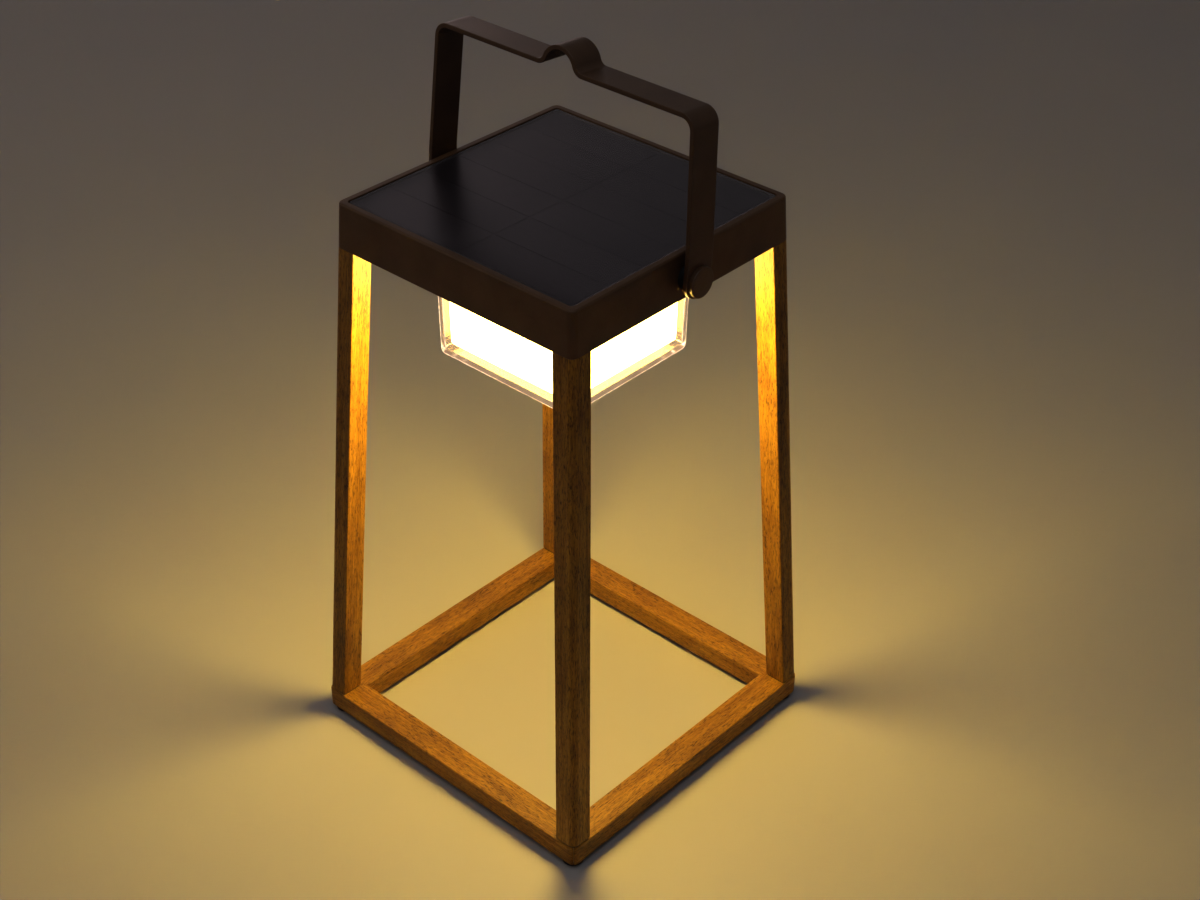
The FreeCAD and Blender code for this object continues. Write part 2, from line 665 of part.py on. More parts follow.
def lamp_plate_screws():
    places = four_sides(LAMP_SCREW_SPACING, LAMP_SCREW_OFFSET)
    return group([pan_head_screw(x, y, LAMP_PLATE_TOP, 9.4, 1.25, 2.4, 1.8) for x, y in places])


def lamp_board():
    return square_plate(46.0, 2.0, LAMP_PLATE_LOW - 1.6, LAMP_PLATE_LOW)


def lamp_leds():
    """Sixteen small light-emitting chips on the underside of the lamp board."""
    chips = []
    for row in range(4):
        for column in range(4):
            x = (column - 1.5) * 24.0
            y = (row - 1.5) * 24.0
            top = LAMP_PLATE_LOW - 1.6
            chips.append(box(x - 1.8, y - 1.8, top - 1.0, x + 1.8, y + 1.8, top))
    return group(chips)


def lamp_leads():
    """Pair of wires from the control board to the hole in the lamp plate."""
    wires = []
    z = BOARD_TOP + 5
    for x in (22.5, 25.5):
        end = -1.2 if x < 24 else 1.2
        route = [(x, CONTROL_Y + 10.5, z), (x, -56 + end, z), (end, -50, z), (end, -50, LAMP_PLATE_LOW)]
        wires.append(tube_along(route, 0.8, 2.4))
    return group(wires)


# ---- handle ----
def handle_path():
    """Half of the strap's middle line, from its lower end to the top of the hump.

    Each step is ("run", length) or ("bend", radius, degrees), positive to the left.
    """
    half = STRAP_THICKNESS / 2
    corner = 8.5
    tab = 16.0
    ease = 30.0
    dip = 6.5
    crown = 12.5
    lean = math.radians(STRAP_LEAN)
    sweep = math.radians(HUMP_SWEEP)
    start_half = STRAP_INNER_HALF + half
    rise = tab + ease * math.sin(lean)
    shift = ease * (1 - math.cos(lean))
    grip_level = HANDLE_TOP - half
    straight_top = grip_level - corner + corner * math.sin(lean)
    side_run = (straight_top - rise) / math.cos(lean)
    shift += side_run * math.sin(lean) + corner * math.cos(lean)
    grip_run = start_half - shift - (dip + crown) * math.sin(sweep)
    return [("run", STRAP_WIDTH / 2 + tab), ("bend", ease, STRAP_LEAN), ("run", side_run),
            ("bend", corner, 90 - STRAP_LEAN), ("run", grip_run),
            ("bend", dip, -HUMP_SWEEP), ("bend", crown, HUMP_SWEEP)]


def strap_side(steps, offset):
    """Edges of one face of the strap: the middle line moved sideways by offset."""
    place = Vector(STRAP_INNER_HALF + STRAP_THICKNESS / 2, 0, -STRAP_WIDTH / 2)
    heading = math.pi / 2
    edges = []
    for step in steps:
        left = Vector(-math.sin(heading), 0, math.cos(heading))
        start = place + left * offset
        if step[0] == "run":
            place = place + Vector(math.cos(heading), 0, math.sin(heading)) * step[1]
            edges.append(Part.LineSegment(start, place + left * offset).toShape())
            continue
        turn = math.radians(step[2])
        way = math.copysign(1.0, turn)
        centre = place + left * (way * step[1])
        middle = turn_about(start, centre, turn / 2)
        end = turn_about(start, centre, turn)
        place = turn_about(place, centre, turn)
        heading += turn
        edges.append(Part.Arc(start, middle, end).toShape())
    return edges


def turn_about(point, centre, angle):
    """A point of the XZ plane turned about a centre, from X towards Z."""
    arm = point - centre
    x = arm.x * math.cos(angle) - arm.z * math.sin(angle)
    z = arm.x * math.sin(angle) + arm.z * math.cos(angle)
    return centre + Vector(x, 0, z)


def handle_strap():
    """Flat bar bent into a wide stirrup with a hump, its ends rounded and bored."""
    steps = handle_path()
    steps = steps + steps[::-1]
    inner = strap_side(steps, STRAP_THICKNESS / 2)
    outer = strap_side(steps, -STRAP_THICKNESS / 2)
    caps = [Part.LineSegment(inner[0].Vertexes[0].Point, outer[0].Vertexes[0].Point).toShape(),
            Part.LineSegment(inner[-1].Vertexes[-1].Point, outer[-1].Vertexes[-1].Point).toShape()]
    outline = Part.Wire(Part.sortEdges(inner + outer + caps)[0])
    half = STRAP_WIDTH / 2
    strap = Part.Face(outline).extrude(Vector(0, STRAP_WIDTH, 0))
    strap.translate(Vector(0, -half, 0))
    ends = Part.makeCylinder(half, 2 * BASE_HALF, Vector(-BASE_HALF, 0, 0), X_AXIS)
    keep = ends.fuse(box(-BASE_HALF, -half - 1, 0, BASE_HALF, half + 1, HANDLE_TOP + 40))
    strap = strap.common(keep)
    strap = strap.cut(Part.makeCylinder(4.05, 2 * BASE_HALF, Vector(-BASE_HALF, 0, 0), X_AXIS))
    strap.translate(Vector(0, 0, PIVOT_HEIGHT))
    strap.rotate(Vector(0, 0, PIVOT_HEIGHT), X_AXIS, -HANDLE_REST_LEAN)
    return strap


def pivot_bolts():
    bolts = []
    seat = STRAP_INNER_HALF + STRAP_THICKNESS + 0.1
    for side in (-1, 1):
        cap = side_rod(side * seat, side * (seat + 3.2), 10.0)
        face = side * (seat + 3.2)
        rim = [e for e in cap.Edges if abs(e.BoundBox.Center.x - face) < 1e-4 and len(e.Vertexes) == 1]
        cap = cap.makeFillet(0.8, rim)
        bolts.append(cap.fuse(side_rod(side * 83.5, side * (seat + 0.5), 2.95)).removeSplitter())
    return group(bolts)


def pivot_bushes():
    """Flanged sleeves: a thick collar off the head and a thin one through the strap."""
    bushes = []
    for side in (-1, 1):
        collar = side_rod(side * 98.2, side * (STRAP_INNER_HALF - 1.1), 8.0)
        end = STRAP_INNER_HALF + STRAP_THICKNESS + 0.05
        sleeve = side_rod(side * (STRAP_INNER_HALF - 2), side * end, 4.0)
        bore = side_rod(side * 90.0, side * 115.0, 3.05)
        bushes.append(collar.fuse(sleeve).cut(bore).removeSplitter())
    return group(bushes)


def pivot_washers():
    washers = []
    for side in (-1, 1):
        disc = side_rod(side * (STRAP_INNER_HALF - 1.05), side * (STRAP_INNER_HALF - 0.1), 8.0)
        washers.append(disc.cut(side_rod(side * 90.0, side * 115.0, 4.05)))
    return group(washers)


def pivot_nuts():
    nuts = []
    for side in (-1, 1):
        corners = []
        for index in range(7):
            angle = math.radians(60 * index)
            corners.append(Vector(0, 5.77 * math.cos(angle), PIVOT_HEIGHT + 5.77 * math.sin(angle)))
        nut = Part.Face(Part.makePolygon(corners)).extrude(Vector(5.0, 0, 0))
        nut.translate(Vector(side * BOSS_OFFSET - (5.0 if side > 0 else 0.0), 0, 0))
        nuts.append(nut.cut(side_rod(side * 80.0, side * 95.0, 3.0)))
    return group(nuts)


# ---- every node, by name ----
def all_parts():
    frame = base_frame()
    parts = {}
    for name, turn in (("front", 0), ("right", 90), ("back", 180), ("left", 270)):
        parts["base_rail_" + name] = base_rail(frame, turn)
    for sx, sy in CORNERS:
        name = "leg_" + ("front" if sy < 0 else "back") + "_" + ("right" if sx > 0 else "left")
        parts[name] = leg(sx, sy)
    parts["leg_foot_inserts"] = insert_sleeves(LEG_FOOT_CENTRE, LEG_FOOT, LEG_FOOT + 12.0)
    parts["leg_top_inserts"] = insert_sleeves(LEG_TOP_CENTRE, HEAD_BOTTOM - 15.0, HEAD_BOTTOM)
    single = [corner_plates, corner_plate_screws, leg_foot_screws, feet, leg_washers, leg_top_screws,
              head_housing, bottom_plate, bottom_plate_screws, panel_glass, solar_cells, panel_backsheet,
              panel_gasket, panel_junction_box, panel_leads, battery_cells, battery_holder, battery_clamp,
              battery_leads, control_board, board_standoffs, board_screws, control_components,
              tactile_switch, switch_plunger, power_button, charge_port, port_cover, port_cover_anchor,
              diffuser_outer, diffuser_inner, diffuser_gasket, lamp_plate, lamp_plate_spacers,
              lamp_plate_screws, lamp_board, lamp_leds, lamp_leads, handle_strap, pivot_bolts,
              pivot_bushes, pivot_washers, pivot_nuts]
    for make in single:
        parts[make.__name__] = make()
    return parts


os.makedirs("parts", exist_ok=True)
for node, shape in all_parts().items():
    valid = shape.isValid() and all(s.isClosed() for s in shape.Solids)
    print(node, len(shape.Solids), round(shape.Volume, 1), "ok" if valid else "BAD")
    shape.exportStep("parts/" + node + ".step")
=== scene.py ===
import json
import math

import bmesh
import bpy
import numpy as np
from mathutils import Matrix, Vector


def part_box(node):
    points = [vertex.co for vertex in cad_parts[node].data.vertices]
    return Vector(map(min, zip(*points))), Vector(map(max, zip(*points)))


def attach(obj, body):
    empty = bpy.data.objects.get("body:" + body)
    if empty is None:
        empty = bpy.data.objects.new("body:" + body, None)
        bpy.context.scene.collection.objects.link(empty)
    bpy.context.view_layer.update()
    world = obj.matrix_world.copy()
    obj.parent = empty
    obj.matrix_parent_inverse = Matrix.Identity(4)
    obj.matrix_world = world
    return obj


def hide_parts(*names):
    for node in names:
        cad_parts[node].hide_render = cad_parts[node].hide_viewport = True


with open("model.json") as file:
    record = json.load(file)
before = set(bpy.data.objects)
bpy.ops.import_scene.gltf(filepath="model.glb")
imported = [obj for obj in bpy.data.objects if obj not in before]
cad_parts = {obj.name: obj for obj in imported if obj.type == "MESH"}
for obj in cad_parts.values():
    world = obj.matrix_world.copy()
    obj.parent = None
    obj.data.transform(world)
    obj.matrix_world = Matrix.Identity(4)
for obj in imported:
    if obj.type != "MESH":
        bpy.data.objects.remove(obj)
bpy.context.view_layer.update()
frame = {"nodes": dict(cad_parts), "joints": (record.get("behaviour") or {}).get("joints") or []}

# Square solar lantern, metres, +Z up.  Four leaning teak legs stand on a mitred
# teak base and carry a powder-coated head with a solar panel on top.  Under the
# head hangs a frosted cup inside a clear cover, and a flat bar bent into a
# handle swings on two pivots at the sides of the head.

MM = 0.001


# ---- sizes and places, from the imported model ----
def corners_of(node):
    """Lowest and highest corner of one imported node, as two arrays."""
    low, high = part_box(node)
    return np.array(low), np.array(high)


rail_low, rail_high = corners_of("base_rail_front")
leg_low, leg_high = corners_of("leg_back_right")
head_low, head_high = corners_of("head_housing")
glass_low, glass_high = corners_of("panel_glass")
cover_low, cover_high = corners_of("diffuser_outer")
cup_low, cup_high = corners_of("diffuser_inner")
plate_low, plate_high = corners_of("bottom_plate")
_, plate_screw_high = corners_of("bottom_plate_screws")
_, strap_high = corners_of("handle_strap")
_, bolt_high = corners_of("pivot_bolts")
_, bush_high = corners_of("pivot_bushes")
_, washer_high = corners_of("pivot_washers")
_, foot_high = corners_of("feet")
button_low, button_high = corners_of("power_button")
flap_low, flap_high = corners_of("port_cover")
joints = {joint["name"]: joint for joint in frame["joints"]}
PIVOT = np.array(joints["handle_swing"]["pos_m"])

BASE_HALF = -rail_low[1]
RAIL_WIDTH = rail_high[1] - rail_low[1]
RAIL_EDGE = 0.8 * MM            # rounding along a rail's long edges
OUTER_CORNER = 5.0 * MM         # upright outer corners of base, legs and head
MITRE_GAP = 0.1 * MM            # half the line at each mitre
MITRE_EASE = 0.3 * MM           # softened edge at each mitre
CHANNEL_INSET = 2.8 * MM        # groove under the rails for the corner plates
CHANNEL_DEPTH = 2.0 * MM
PLATE_REACH = 48.0 * MM         # corner plates' reach from the base's corner
PLATE_SCREW_REACH = 40.0 * MM   # their screws' distance from it
LEG_SIDE = 16.0 * MM
LEG_EASE = 0.8 * MM
HEAD_TAPER = 1.5 * MM           # the head is this much smaller each side on top
HEAD_WALL_HALF = 96.5 * MM      # inside of the head's walls
RECESS_HALF = 93.4 * MM
OPENING_HALF = 86.0 * MM
LEDGE_DROP = 5.9 * MM
LEDGE_THICK = 2.5 * MM
WALL_BITE = 0.3 * MM            # pads and bosses reach this far into the head's wall
BOSS_ALONG = 45.0 * MM          # screw bosses' distance from the middle of each side
SMALL_SCREW_HEAD = 2.8 * MM     # radius
COVER_HALF_LOW = 57.5 * MM      # clear lamp cover, outside, at its bottom
COVER_HALF_TOP = 58.6 * MM
COVER_CORNER = 7.0 * MM
COVER_WALL = 4.0 * MM
COVER_FLANGE = 2.5 * MM         # thickness of its flange
CUP_HALF_LOW = 51.0 * MM        # frosted cup, outside, at its bottom
CUP_HALF_TOP = 51.9 * MM
CUP_CORNER = 4.5 * MM
CUP_WALL = 2.0 * MM
STRAP_WIDTH = 22.5 * MM
STRAP_THICK = 3.0 * MM
STRAP_EASE = 0.45 * MM
STRAP_LEAN = 3.2                # degrees that the handle's sides lean inwards
HANDLE_LEAN = 4.0               # degrees that the handle leans towards +Y
HUMP_SWEEP = 70.0               # degrees turned by each side of the hanging hump
GRIP_LEVEL = 103.5 * MM         # top of the grip above the pivot
BOLT_START = 83.5 * MM          # inner end of the pivot bolts, from the lantern's middle
BUSH_START = 98.2 * MM          # inner face of the collar bushes, from the same
WASHER_THICK = 0.95 * MM


# ---- outlines ----
def arc(centre, radius, start, end, steps):
    """Points centre + radius (cos t, sin t) for t from start to end degrees."""
    t = np.radians(np.linspace(start, end, steps + 1))
    return np.array(centre) + radius * np.stack([np.cos(t), np.sin(t)], -1)


def corner_rings(half, radius, steps=8):
    """Rings of a rectangle with rounded corners, one for each row of half and radius.

    half is (rows, 2), for X and Y, and radius is (rows, 4), from the (+X, +Y) corner round.
    Corner k has its centre at half - radius out along both sides, and its points are that
    centre plus radius (cos t, sin t) for t from 90 k to 90 k + 90 degrees.
    """
    corner = np.repeat(np.arange(4), steps + 1)
    turn = np.radians(90 * corner + np.tile(np.linspace(0, 90, steps + 1), 4))
    diagonal = np.radians(90 * corner + 45)
    signs = np.sign(np.stack([np.cos(diagonal), np.sin(diagonal)], -1))
    rounding = np.broadcast_to(radius, (len(half), 4))[:, corner, None]
    centre = (half[:, None, :] - rounding) * signs
    return centre + rounding * np.stack([np.cos(turn), np.sin(turn)], -1)


def square_rows(half, radius, level, steps=8):
    """Rows of a rounded square, with a half width and a corner radius at each level."""
    half = np.asarray(half, float)
    radius = np.asarray(radius, float)
    rings = corner_rings(np.stack([half, half], -1), radius[:, None], steps)
    height = np.broadcast_to(np.asarray(level, float)[:, None, None], rings[..., :1].shape)
    return np.concatenate([rings, height], -1)


# ---- closed shells ----
def outward(points, quads, lids):
    """The shell with all its faces turned so that its enclosed volume is positive."""
    fans = [quads[:, [0, 1, 2]], quads[:, [0, 2, 3]]]
    for lid in lids:
        fans.append(np.stack([np.full(len(lid) - 2, lid[0]), lid[1:-1], lid[2:]], -1))
    a, b, c = (points[np.concatenate(fans)[:, k]] for k in range(3))
    if np.einsum("ij,ij->", a, np.cross(b, c)) < 0:
        return points, quads[:, ::-1], [lid[::-1] for lid in lids]
    return points, quads, lids


def skin(rows, joined=False):
    """Shell over a (rows, ring, 3) grid whose rings are closed.

    Each quad joins a point to the next one on its ring and on the row above.  The last row
    meets the first when joined, and else a flat lid closes each end.
    """
    count, ring = rows.shape[:2]
    index = np.arange(count * ring).reshape(count, ring)
    here = index if joined else index[:-1]
    above = np.roll(index, -1, 0) if joined else index[1:]
    quads = np.stack([here, np.roll(here, -1, 1), np.roll(above, -1, 1), above], -1).reshape(-1, 4)
    lids = [] if joined else [index[0][::-1], index[-1]]
    return outward(rows.reshape(-1, 3), quads, lids)


def turned(profile, place, axis="z", sides=64, joined=False):
    """Lathe work: each (radius, along) of the profile becomes a ring about the axis."""
    t = np.linspace(0, 2 * math.pi, sides, endpoint=False)
    profile = np.asarray(profile, float)
    radius = profile[:, 0, None]
    first, second = radius * np.cos(t), radius * np.sin(t)
    along = np.broadcast_to(profile[:, 1, None], first.shape)
    order = (first, second, along) if axis == "z" else (along, first, second)
    return skin(np.stack(order, -1) + np.array(place), joined)


def slab(centre, half, radius, low, high, ease, steps=6):
    """Level plate with rounded corners whose top and bottom edges are rounded to ease."""
    under = arc((0, low + ease), ease, -90, 0, 3)
    over = arc((0, high - ease), ease, 0, 90, 3)
    profile = np.concatenate([under, over])
    inset = (ease - profile[:, 0])[:, None]
    rounding = np.maximum(np.broadcast_to(radius, (len(profile), 4)) - inset, 0.05 * MM)
    rings = corner_rings(np.array(half) - inset, rounding, steps) + np.array(centre)
    height = np.broadcast_to(profile[:, 1, None, None], rings[..., :1].shape)
    return skin(np.concatenate([rings, height], -1))


def quarter_turned(shell, quarters):
    """The shell turned about Z by quarter turns."""
    points, quads, lids = shell
    angle = math.pi / 2 * quarters
    spin = np.array([[math.cos(angle), math.sin(angle), 0],
                     [-math.sin(angle), math.cos(angle), 0],
                     [0, 0, 1]])
    return points @ spin, quads, lids


# ---- pieces ----
def make_piece(name, shells, body, surface, stands_for=(), along_grain=None, sharp=32):
    """Joins closed shells into one named object on a body, with its finish and shading."""
    points, faces, start = [], [], 0
    for shell_points, quads, lids in shells:
        points.append(shell_points)
        faces += (quads + start).tolist()
        faces += [(lid + start).tolist() for lid in lids]
        start += len(shell_points)
    mesh = bpy.data.meshes.new(name)
    mesh.from_pydata(np.concatenate(points).tolist(), [], faces)
    if along_grain is not None:
        grain = mesh.attributes.new("grain", "FLOAT_VECTOR", "POINT")
        grain.data.foreach_set("vector", along_grain.astype(np.float32).ravel())
    return finish_piece(name, mesh, body, surface, stands_for, sharp)


def finish_piece(name, mesh, body, surface, stands_for, sharp):
    mesh.shade_smooth()
    mesh.set_sharp_from_angle(angle=math.radians(sharp))
    mesh.materials.append(FINISHES[surface])
    piece = bpy.data.objects.new(name, mesh)
    bpy.context.scene.collection.objects.link(piece)
    evened = piece.modifiers.new("even_shading", "WEIGHTED_NORMAL")
    evened.keep_sharp = True
    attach(piece, body)
    if stands_for:
        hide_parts(*stands_for)
    return piece


# ---- finishes ----
def blank_finish(name):
    """A new node material: its tree and its Principled shader."""
    made = bpy.data.materials.new(name)
    made.use_nodes = True
    return made, made.node_tree, made.node_tree.nodes["Principled BSDF"]


def own_place(tree):
    """The piece's own coordinates, in metres."""
    return tree.nodes.new("ShaderNodeTexCoord").outputs["Object"]


def stretched(tree, place, by):
    """The place scaled along each axis, so that a pattern laid on it runs longest where by is least."""
    mapping = tree.nodes.new("ShaderNodeMapping")
    mapping.inputs["Scale"].default_value = by
    tree.links.new(place, mapping.inputs["Vector"])
    return mapping.outputs["Vector"]


def mottle(tree, place, scale, detail=3.0, roughness=0.5, wander=0.0):
    """Soft noise, 0 to 1, with `scale` blotches a metre."""
    noise = tree.nodes.new("ShaderNodeTexNoise")
    noise.inputs["Scale"].default_value = scale
    noise.inputs["Detail"].default_value = detail
    noise.inputs["Roughness"].default_value = roughness
    noise.inputs["Distortion"].default_value = wander
    tree.links.new(place, noise.inputs["Vector"])
    return noise.outputs["Fac"]


def between(tree, value, from_low, from_high, to_low=0.0, to_high=1.0):
    """The value carried from one range to another, and clamped there."""
    remap = tree.nodes.new("ShaderNodeMapRange")
    sockets = ("From Min", "From Max", "To Min", "To Max")
    for socket, number in zip(sockets, (from_low, from_high, to_low, to_high)):
        remap.inputs[socket].default_value = number
    tree.links.new(value, remap.inputs["Value"])
    return remap.outputs["Result"]


def blend_colours(tree, share, first, second):
    """first where share is 0 and second where it is 1; each is a colour or a socket."""
    mix = tree.nodes.new("ShaderNodeMix")
    mix.data_type = "RGBA"
    tree.links.new(share, mix.inputs["Factor"])
    for slot, colour in ((6, first), (7, second)):
        if isinstance(colour, bpy.types.NodeSocket):
            tree.links.new(colour, mix.inputs[slot])
        else:
            mix.inputs[slot].default_value = (*colour, 1)
    return mix.outputs[2]


def combined(tree, how, first, second):
    """Arithmetic on two values; each is a number or a socket."""
    maths = tree.nodes.new("ShaderNodeMath")
    maths.operation = how
    for slot, value in ((0, first), (1, second)):
        if isinstance(value, bpy.types.NodeSocket):
            tree.links.new(value, maths.inputs[slot])
        else:
            maths.inputs[slot].default_value = value
    return maths.outputs[0]


def feed(tree, shader, socket, value):
    """Drives one input of the shader with a worked-out value."""
    tree.links.new(value, shader.inputs[socket])


def relief(tree, shader, height, depth, strength=1.0):
    """Raises the surface by height (0 to 1) times depth, in metres."""
    bump = tree.nodes.new("ShaderNodeBump")
    bump.inputs["Strength"].default_value = strength
    bump.inputs["Distance"].default_value = depth
    tree.links.new(height, bump.inputs["Height"])
    feed(tree, shader, "Normal", bump.outputs["Normal"])


def oiled_teak():
    """Teak along the member's own length: growth bands, dark streaks and flecks, an oiled sheen."""
    made, tree, shader = blank_finish("oiled_teak")
    attribute = tree.nodes.new("ShaderNodeAttribute")
    attribute.attribute_name = "grain"
    place = attribute.outputs["Vector"]
    bands = mottle(tree, stretched(tree, place, (7, 210, 210)), 1.0, 4.0, 0.62, 0.6)
    streaks = mottle(tree, stretched(tree, place, (75, 1050, 1050)), 1.0, 3.0, 0.6)
    flecks = mottle(tree, stretched(tree, place, (240, 1750, 1750)), 1.0, 2.0, 0.6)
    patches = mottle(tree, stretched(tree, place, (26, 70, 70)), 1.0, 3.0)
    light_wood, dark_wood = (0.44, 0.216, 0.024), (0.165, 0.068, 0.008)
    weathered, pore = (0.125, 0.049, 0.011), (0.055, 0.020, 0.005)
    tone = combined(tree, "ADD", between(tree, bands, 0.34, 0.66, 0.0, 0.52),
                    between(tree, streaks, 0.35, 0.65, 0.0, 0.50))
    wood = blend_colours(tree, between(tree, tone, 0.05, 1.05), light_wood, dark_wood)
    wood = blend_colours(tree, between(tree, patches, 0.45, 0.72, 0.0, 0.5), wood, weathered)
    pits = between(tree, flecks, 0.52, 0.61)
    dark = combined(tree, "MULTIPLY", pits, between(tree, patches, 0.3, 0.6, 0.50, 0.88))
    wood = blend_colours(tree, dark, wood, pore)
    feed(tree, shader, "Base Color", wood)
    feed(tree, shader, "Roughness", between(tree, tone, 0.1, 1.0, 0.44, 0.60))
    surface = combined(tree, "SUBTRACT", combined(tree, "MULTIPLY", streaks, 0.8), pits)
    relief(tree, shader, surface, 0.10 * MM, 0.6)
    shader.inputs["Specular IOR Level"].default_value = 0.4
    shader.inputs["Coat Weight"].default_value = 0.12
    shader.inputs["Coat Roughness"].default_value = 0.22
    return made


def powder_coat(name, colour, darker, roughness):
    """Fine-textured powder coat: an even colour, an orange-peel grain and a soft sheen."""
    made, tree, shader = blank_finish(name)
    place = own_place(tree)
    clouds = mottle(tree, place, 55, 3.0)
    peel = mottle(tree, place, 1100, 2.0, 0.55)
    grain = mottle(tree, place, 3200, 2.0, 0.6)
    half_clouds = combined(tree, "MULTIPLY", clouds, 0.5)
    half_grain = combined(tree, "MULTIPLY", grain, 0.5)
    shade = combined(tree, "ADD", half_clouds, half_grain)
    feed(tree, shader, "Base Color", blend_colours(tree, between(tree, shade, 0.38, 0.62), colour, darker))
    feed(tree, shader, "Roughness", between(tree, grain, 0.3, 0.7, roughness - 0.10, roughness + 0.10))
    texture = combined(tree, "ADD", peel, half_grain)
    relief(tree, shader, texture, 0.14 * MM, 0.7)
    shader.inputs["Metallic"].default_value = 0.15
    return made


def moulded(name, colour, roughness, grain_scale=1500, grain_depth=0.02):
    """Moulded plastic or rubber with a fine spark-eroded grain."""
    made, tree, shader = blank_finish(name)
    place = own_place(tree)
    grain = mottle(tree, place, grain_scale, 2.0)
    clouds = mottle(tree, place, 120, 2.0)
    lighter = tuple(1.35 * c + 0.004 for c in colour)
    feed(tree, shader, "Base Color", blend_colours(tree, clouds, colour, lighter))
    feed(tree, shader, "Roughness", between(tree, grain, 0.2, 0.8, roughness - 0.06, roughness + 0.08))
    relief(tree, shader, grain, grain_depth * MM, 0.6)
    return made


def bare_metal(name, colour, roughness, brushed=(1, 1, 1)):
    """Bare metal with fine tool marks, which run along the axes where `brushed` is least."""
    made, tree, shader = blank_finish(name)
    place = own_place(tree)
    marks = mottle(tree, stretched(tree, place, brushed), 900, 3.0)
    clouds = mottle(tree, place, 60, 2.0)
    duller = tuple(0.72 * c for c in colour)
    feed(tree, shader, "Base Color", blend_colours(tree, clouds, colour, duller))
    feed(tree, shader, "Roughness", between(tree, marks, 0.2, 0.8, roughness - 0.08, roughness + 0.10))
    relief(tree, shader, marks, 0.01 * MM, 0.5)
    shader.inputs["Metallic"].default_value = 1.0
    return made


def see_through(tree, shader):
    """Lets light from lamps straight through a glassy finish, so that it lights what is behind."""
    output = tree.nodes["Material Output"]
    rays = tree.nodes.new("ShaderNodeLightPath")
    passing = combined(tree, "MAXIMUM", rays.outputs["Is Shadow Ray"], rays.outputs["Is Diffuse Ray"])
    clear = tree.nodes.new("ShaderNodeBsdfTransparent")
    clear.inputs["Color"].default_value = (0.96, 0.96, 0.95, 1)
    mix = tree.nodes.new("ShaderNodeMixShader")
    tree.links.new(passing, mix.inputs[0])
    tree.links.new(shader.outputs[0], mix.inputs[1])
    tree.links.new(clear.outputs[0], mix.inputs[2])
    tree.links.new(mix.outputs[0], output.inputs["Surface"])


def clear_acrylic():
    """Clear moulded cover: polished, with faint ripples, and a painted glow.

    The corners and the rim of the floor glow in a thin broken line of painted light, which
    stands in for lamp light that runs inside the walls and leaves there, and a fainter painted glow lies
    over the whole cover.
    """
    made, tree, shader = blank_finish("clear_acrylic")
    place = own_place(tree)
    split = tree.nodes.new("ShaderNodeSeparateXYZ")
    tree.links.new(place, split.inputs[0])
    x = combined(tree, "ABSOLUTE", split.outputs["X"], 0.0)
    y = combined(tree, "ABSOLUTE", split.outputs["Y"], 0.0)
    z = combined(tree, "SUBTRACT", split.outputs["Z"], float(cover_low[2]))
    draft = 2 * (COVER_HALF_TOP - COVER_HALF_LOW) / float(cover_high[2] - cover_low[2])
    diagonal = combined(tree, "SUBTRACT", combined(tree, "ADD", x, y), combined(tree, "MULTIPLY", z, draft))
    bend = 2 * COVER_HALF_LOW - COVER_CORNER * (2 - math.sqrt(2))
    corner = between(tree, diagonal, bend - 0.7 * MM, bend - 0.3 * MM)
    side = combined(tree, "MAXIMUM", x, y)
    near_side = between(tree, side, COVER_HALF_LOW - 1.9 * MM, COVER_HALF_LOW - 1.3 * MM)
    near_floor = between(tree, z, 1.9 * MM, 1.3 * MM)
    # Painted light: a thin bright line of emission on the corners and along the rim of the floor, broken
    # into dashes by noise.
    painted_glow_mask = combined(tree, "MAXIMUM", corner, combined(tree, "MULTIPLY", near_side, near_floor))
    painted_glow_dashes = between(tree, mottle(tree, place, 420, 2.0), 0.44, 0.54, 0.10, 1.0)
    ripples = mottle(tree, place, 70, 2.0)
    # Painted glow: a faint emission over the whole cover.
    haze = between(tree, ripples, 0.3, 0.7, 0.03, 0.07)
    line = combined(tree, "MULTIPLY", combined(tree, "MULTIPLY", painted_glow_mask, painted_glow_dashes), 2.2)
    light = combined(tree, "ADD", line, haze)
    # The painted edge line and the faint painted glow drive the emission, in a warm colour.
    feed(tree, shader, "Emission Strength", light)
    shader.inputs["Emission Color"].default_value = (1.0, 0.66, 0.40, 1)
    feed(tree, shader, "Roughness", between(tree, ripples, 0.3, 0.7, 0.0, 0.03))
    relief(tree, shader, ripples, 0.08 * MM, 0.25)
    shader.inputs["Base Color"].default_value = (0.985, 0.98, 0.97, 1)
    shader.inputs["Transmission Weight"].default_value = 1.0
    shader.inputs["IOR"].default_value = 1.49
    see_through(tree, shader)
    return made


def solar_glass():
    """Cover glass of the panel, with a fine rolled texture that softens reflections."""
    made, tree, shader = blank_finish("solar_glass")
    place = own_place(tree)
    rolled = mottle(tree, place, 900, 2.0)
    haze = mottle(tree, place, 30, 3.0)
    feed(tree, shader, "Roughness", between(tree, haze, 0.3, 0.7, 0.20, 0.24))
    relief(tree, shader, rolled, 0.10 * MM, 0.45)
    shader.inputs["Base Color"].default_value = (0.60, 0.57, 0.62, 1)
    shader.inputs["Transmission Weight"].default_value = 1.0
    shader.inputs["IOR"].default_value = 1.5
    see_through(tree, shader)
    return made


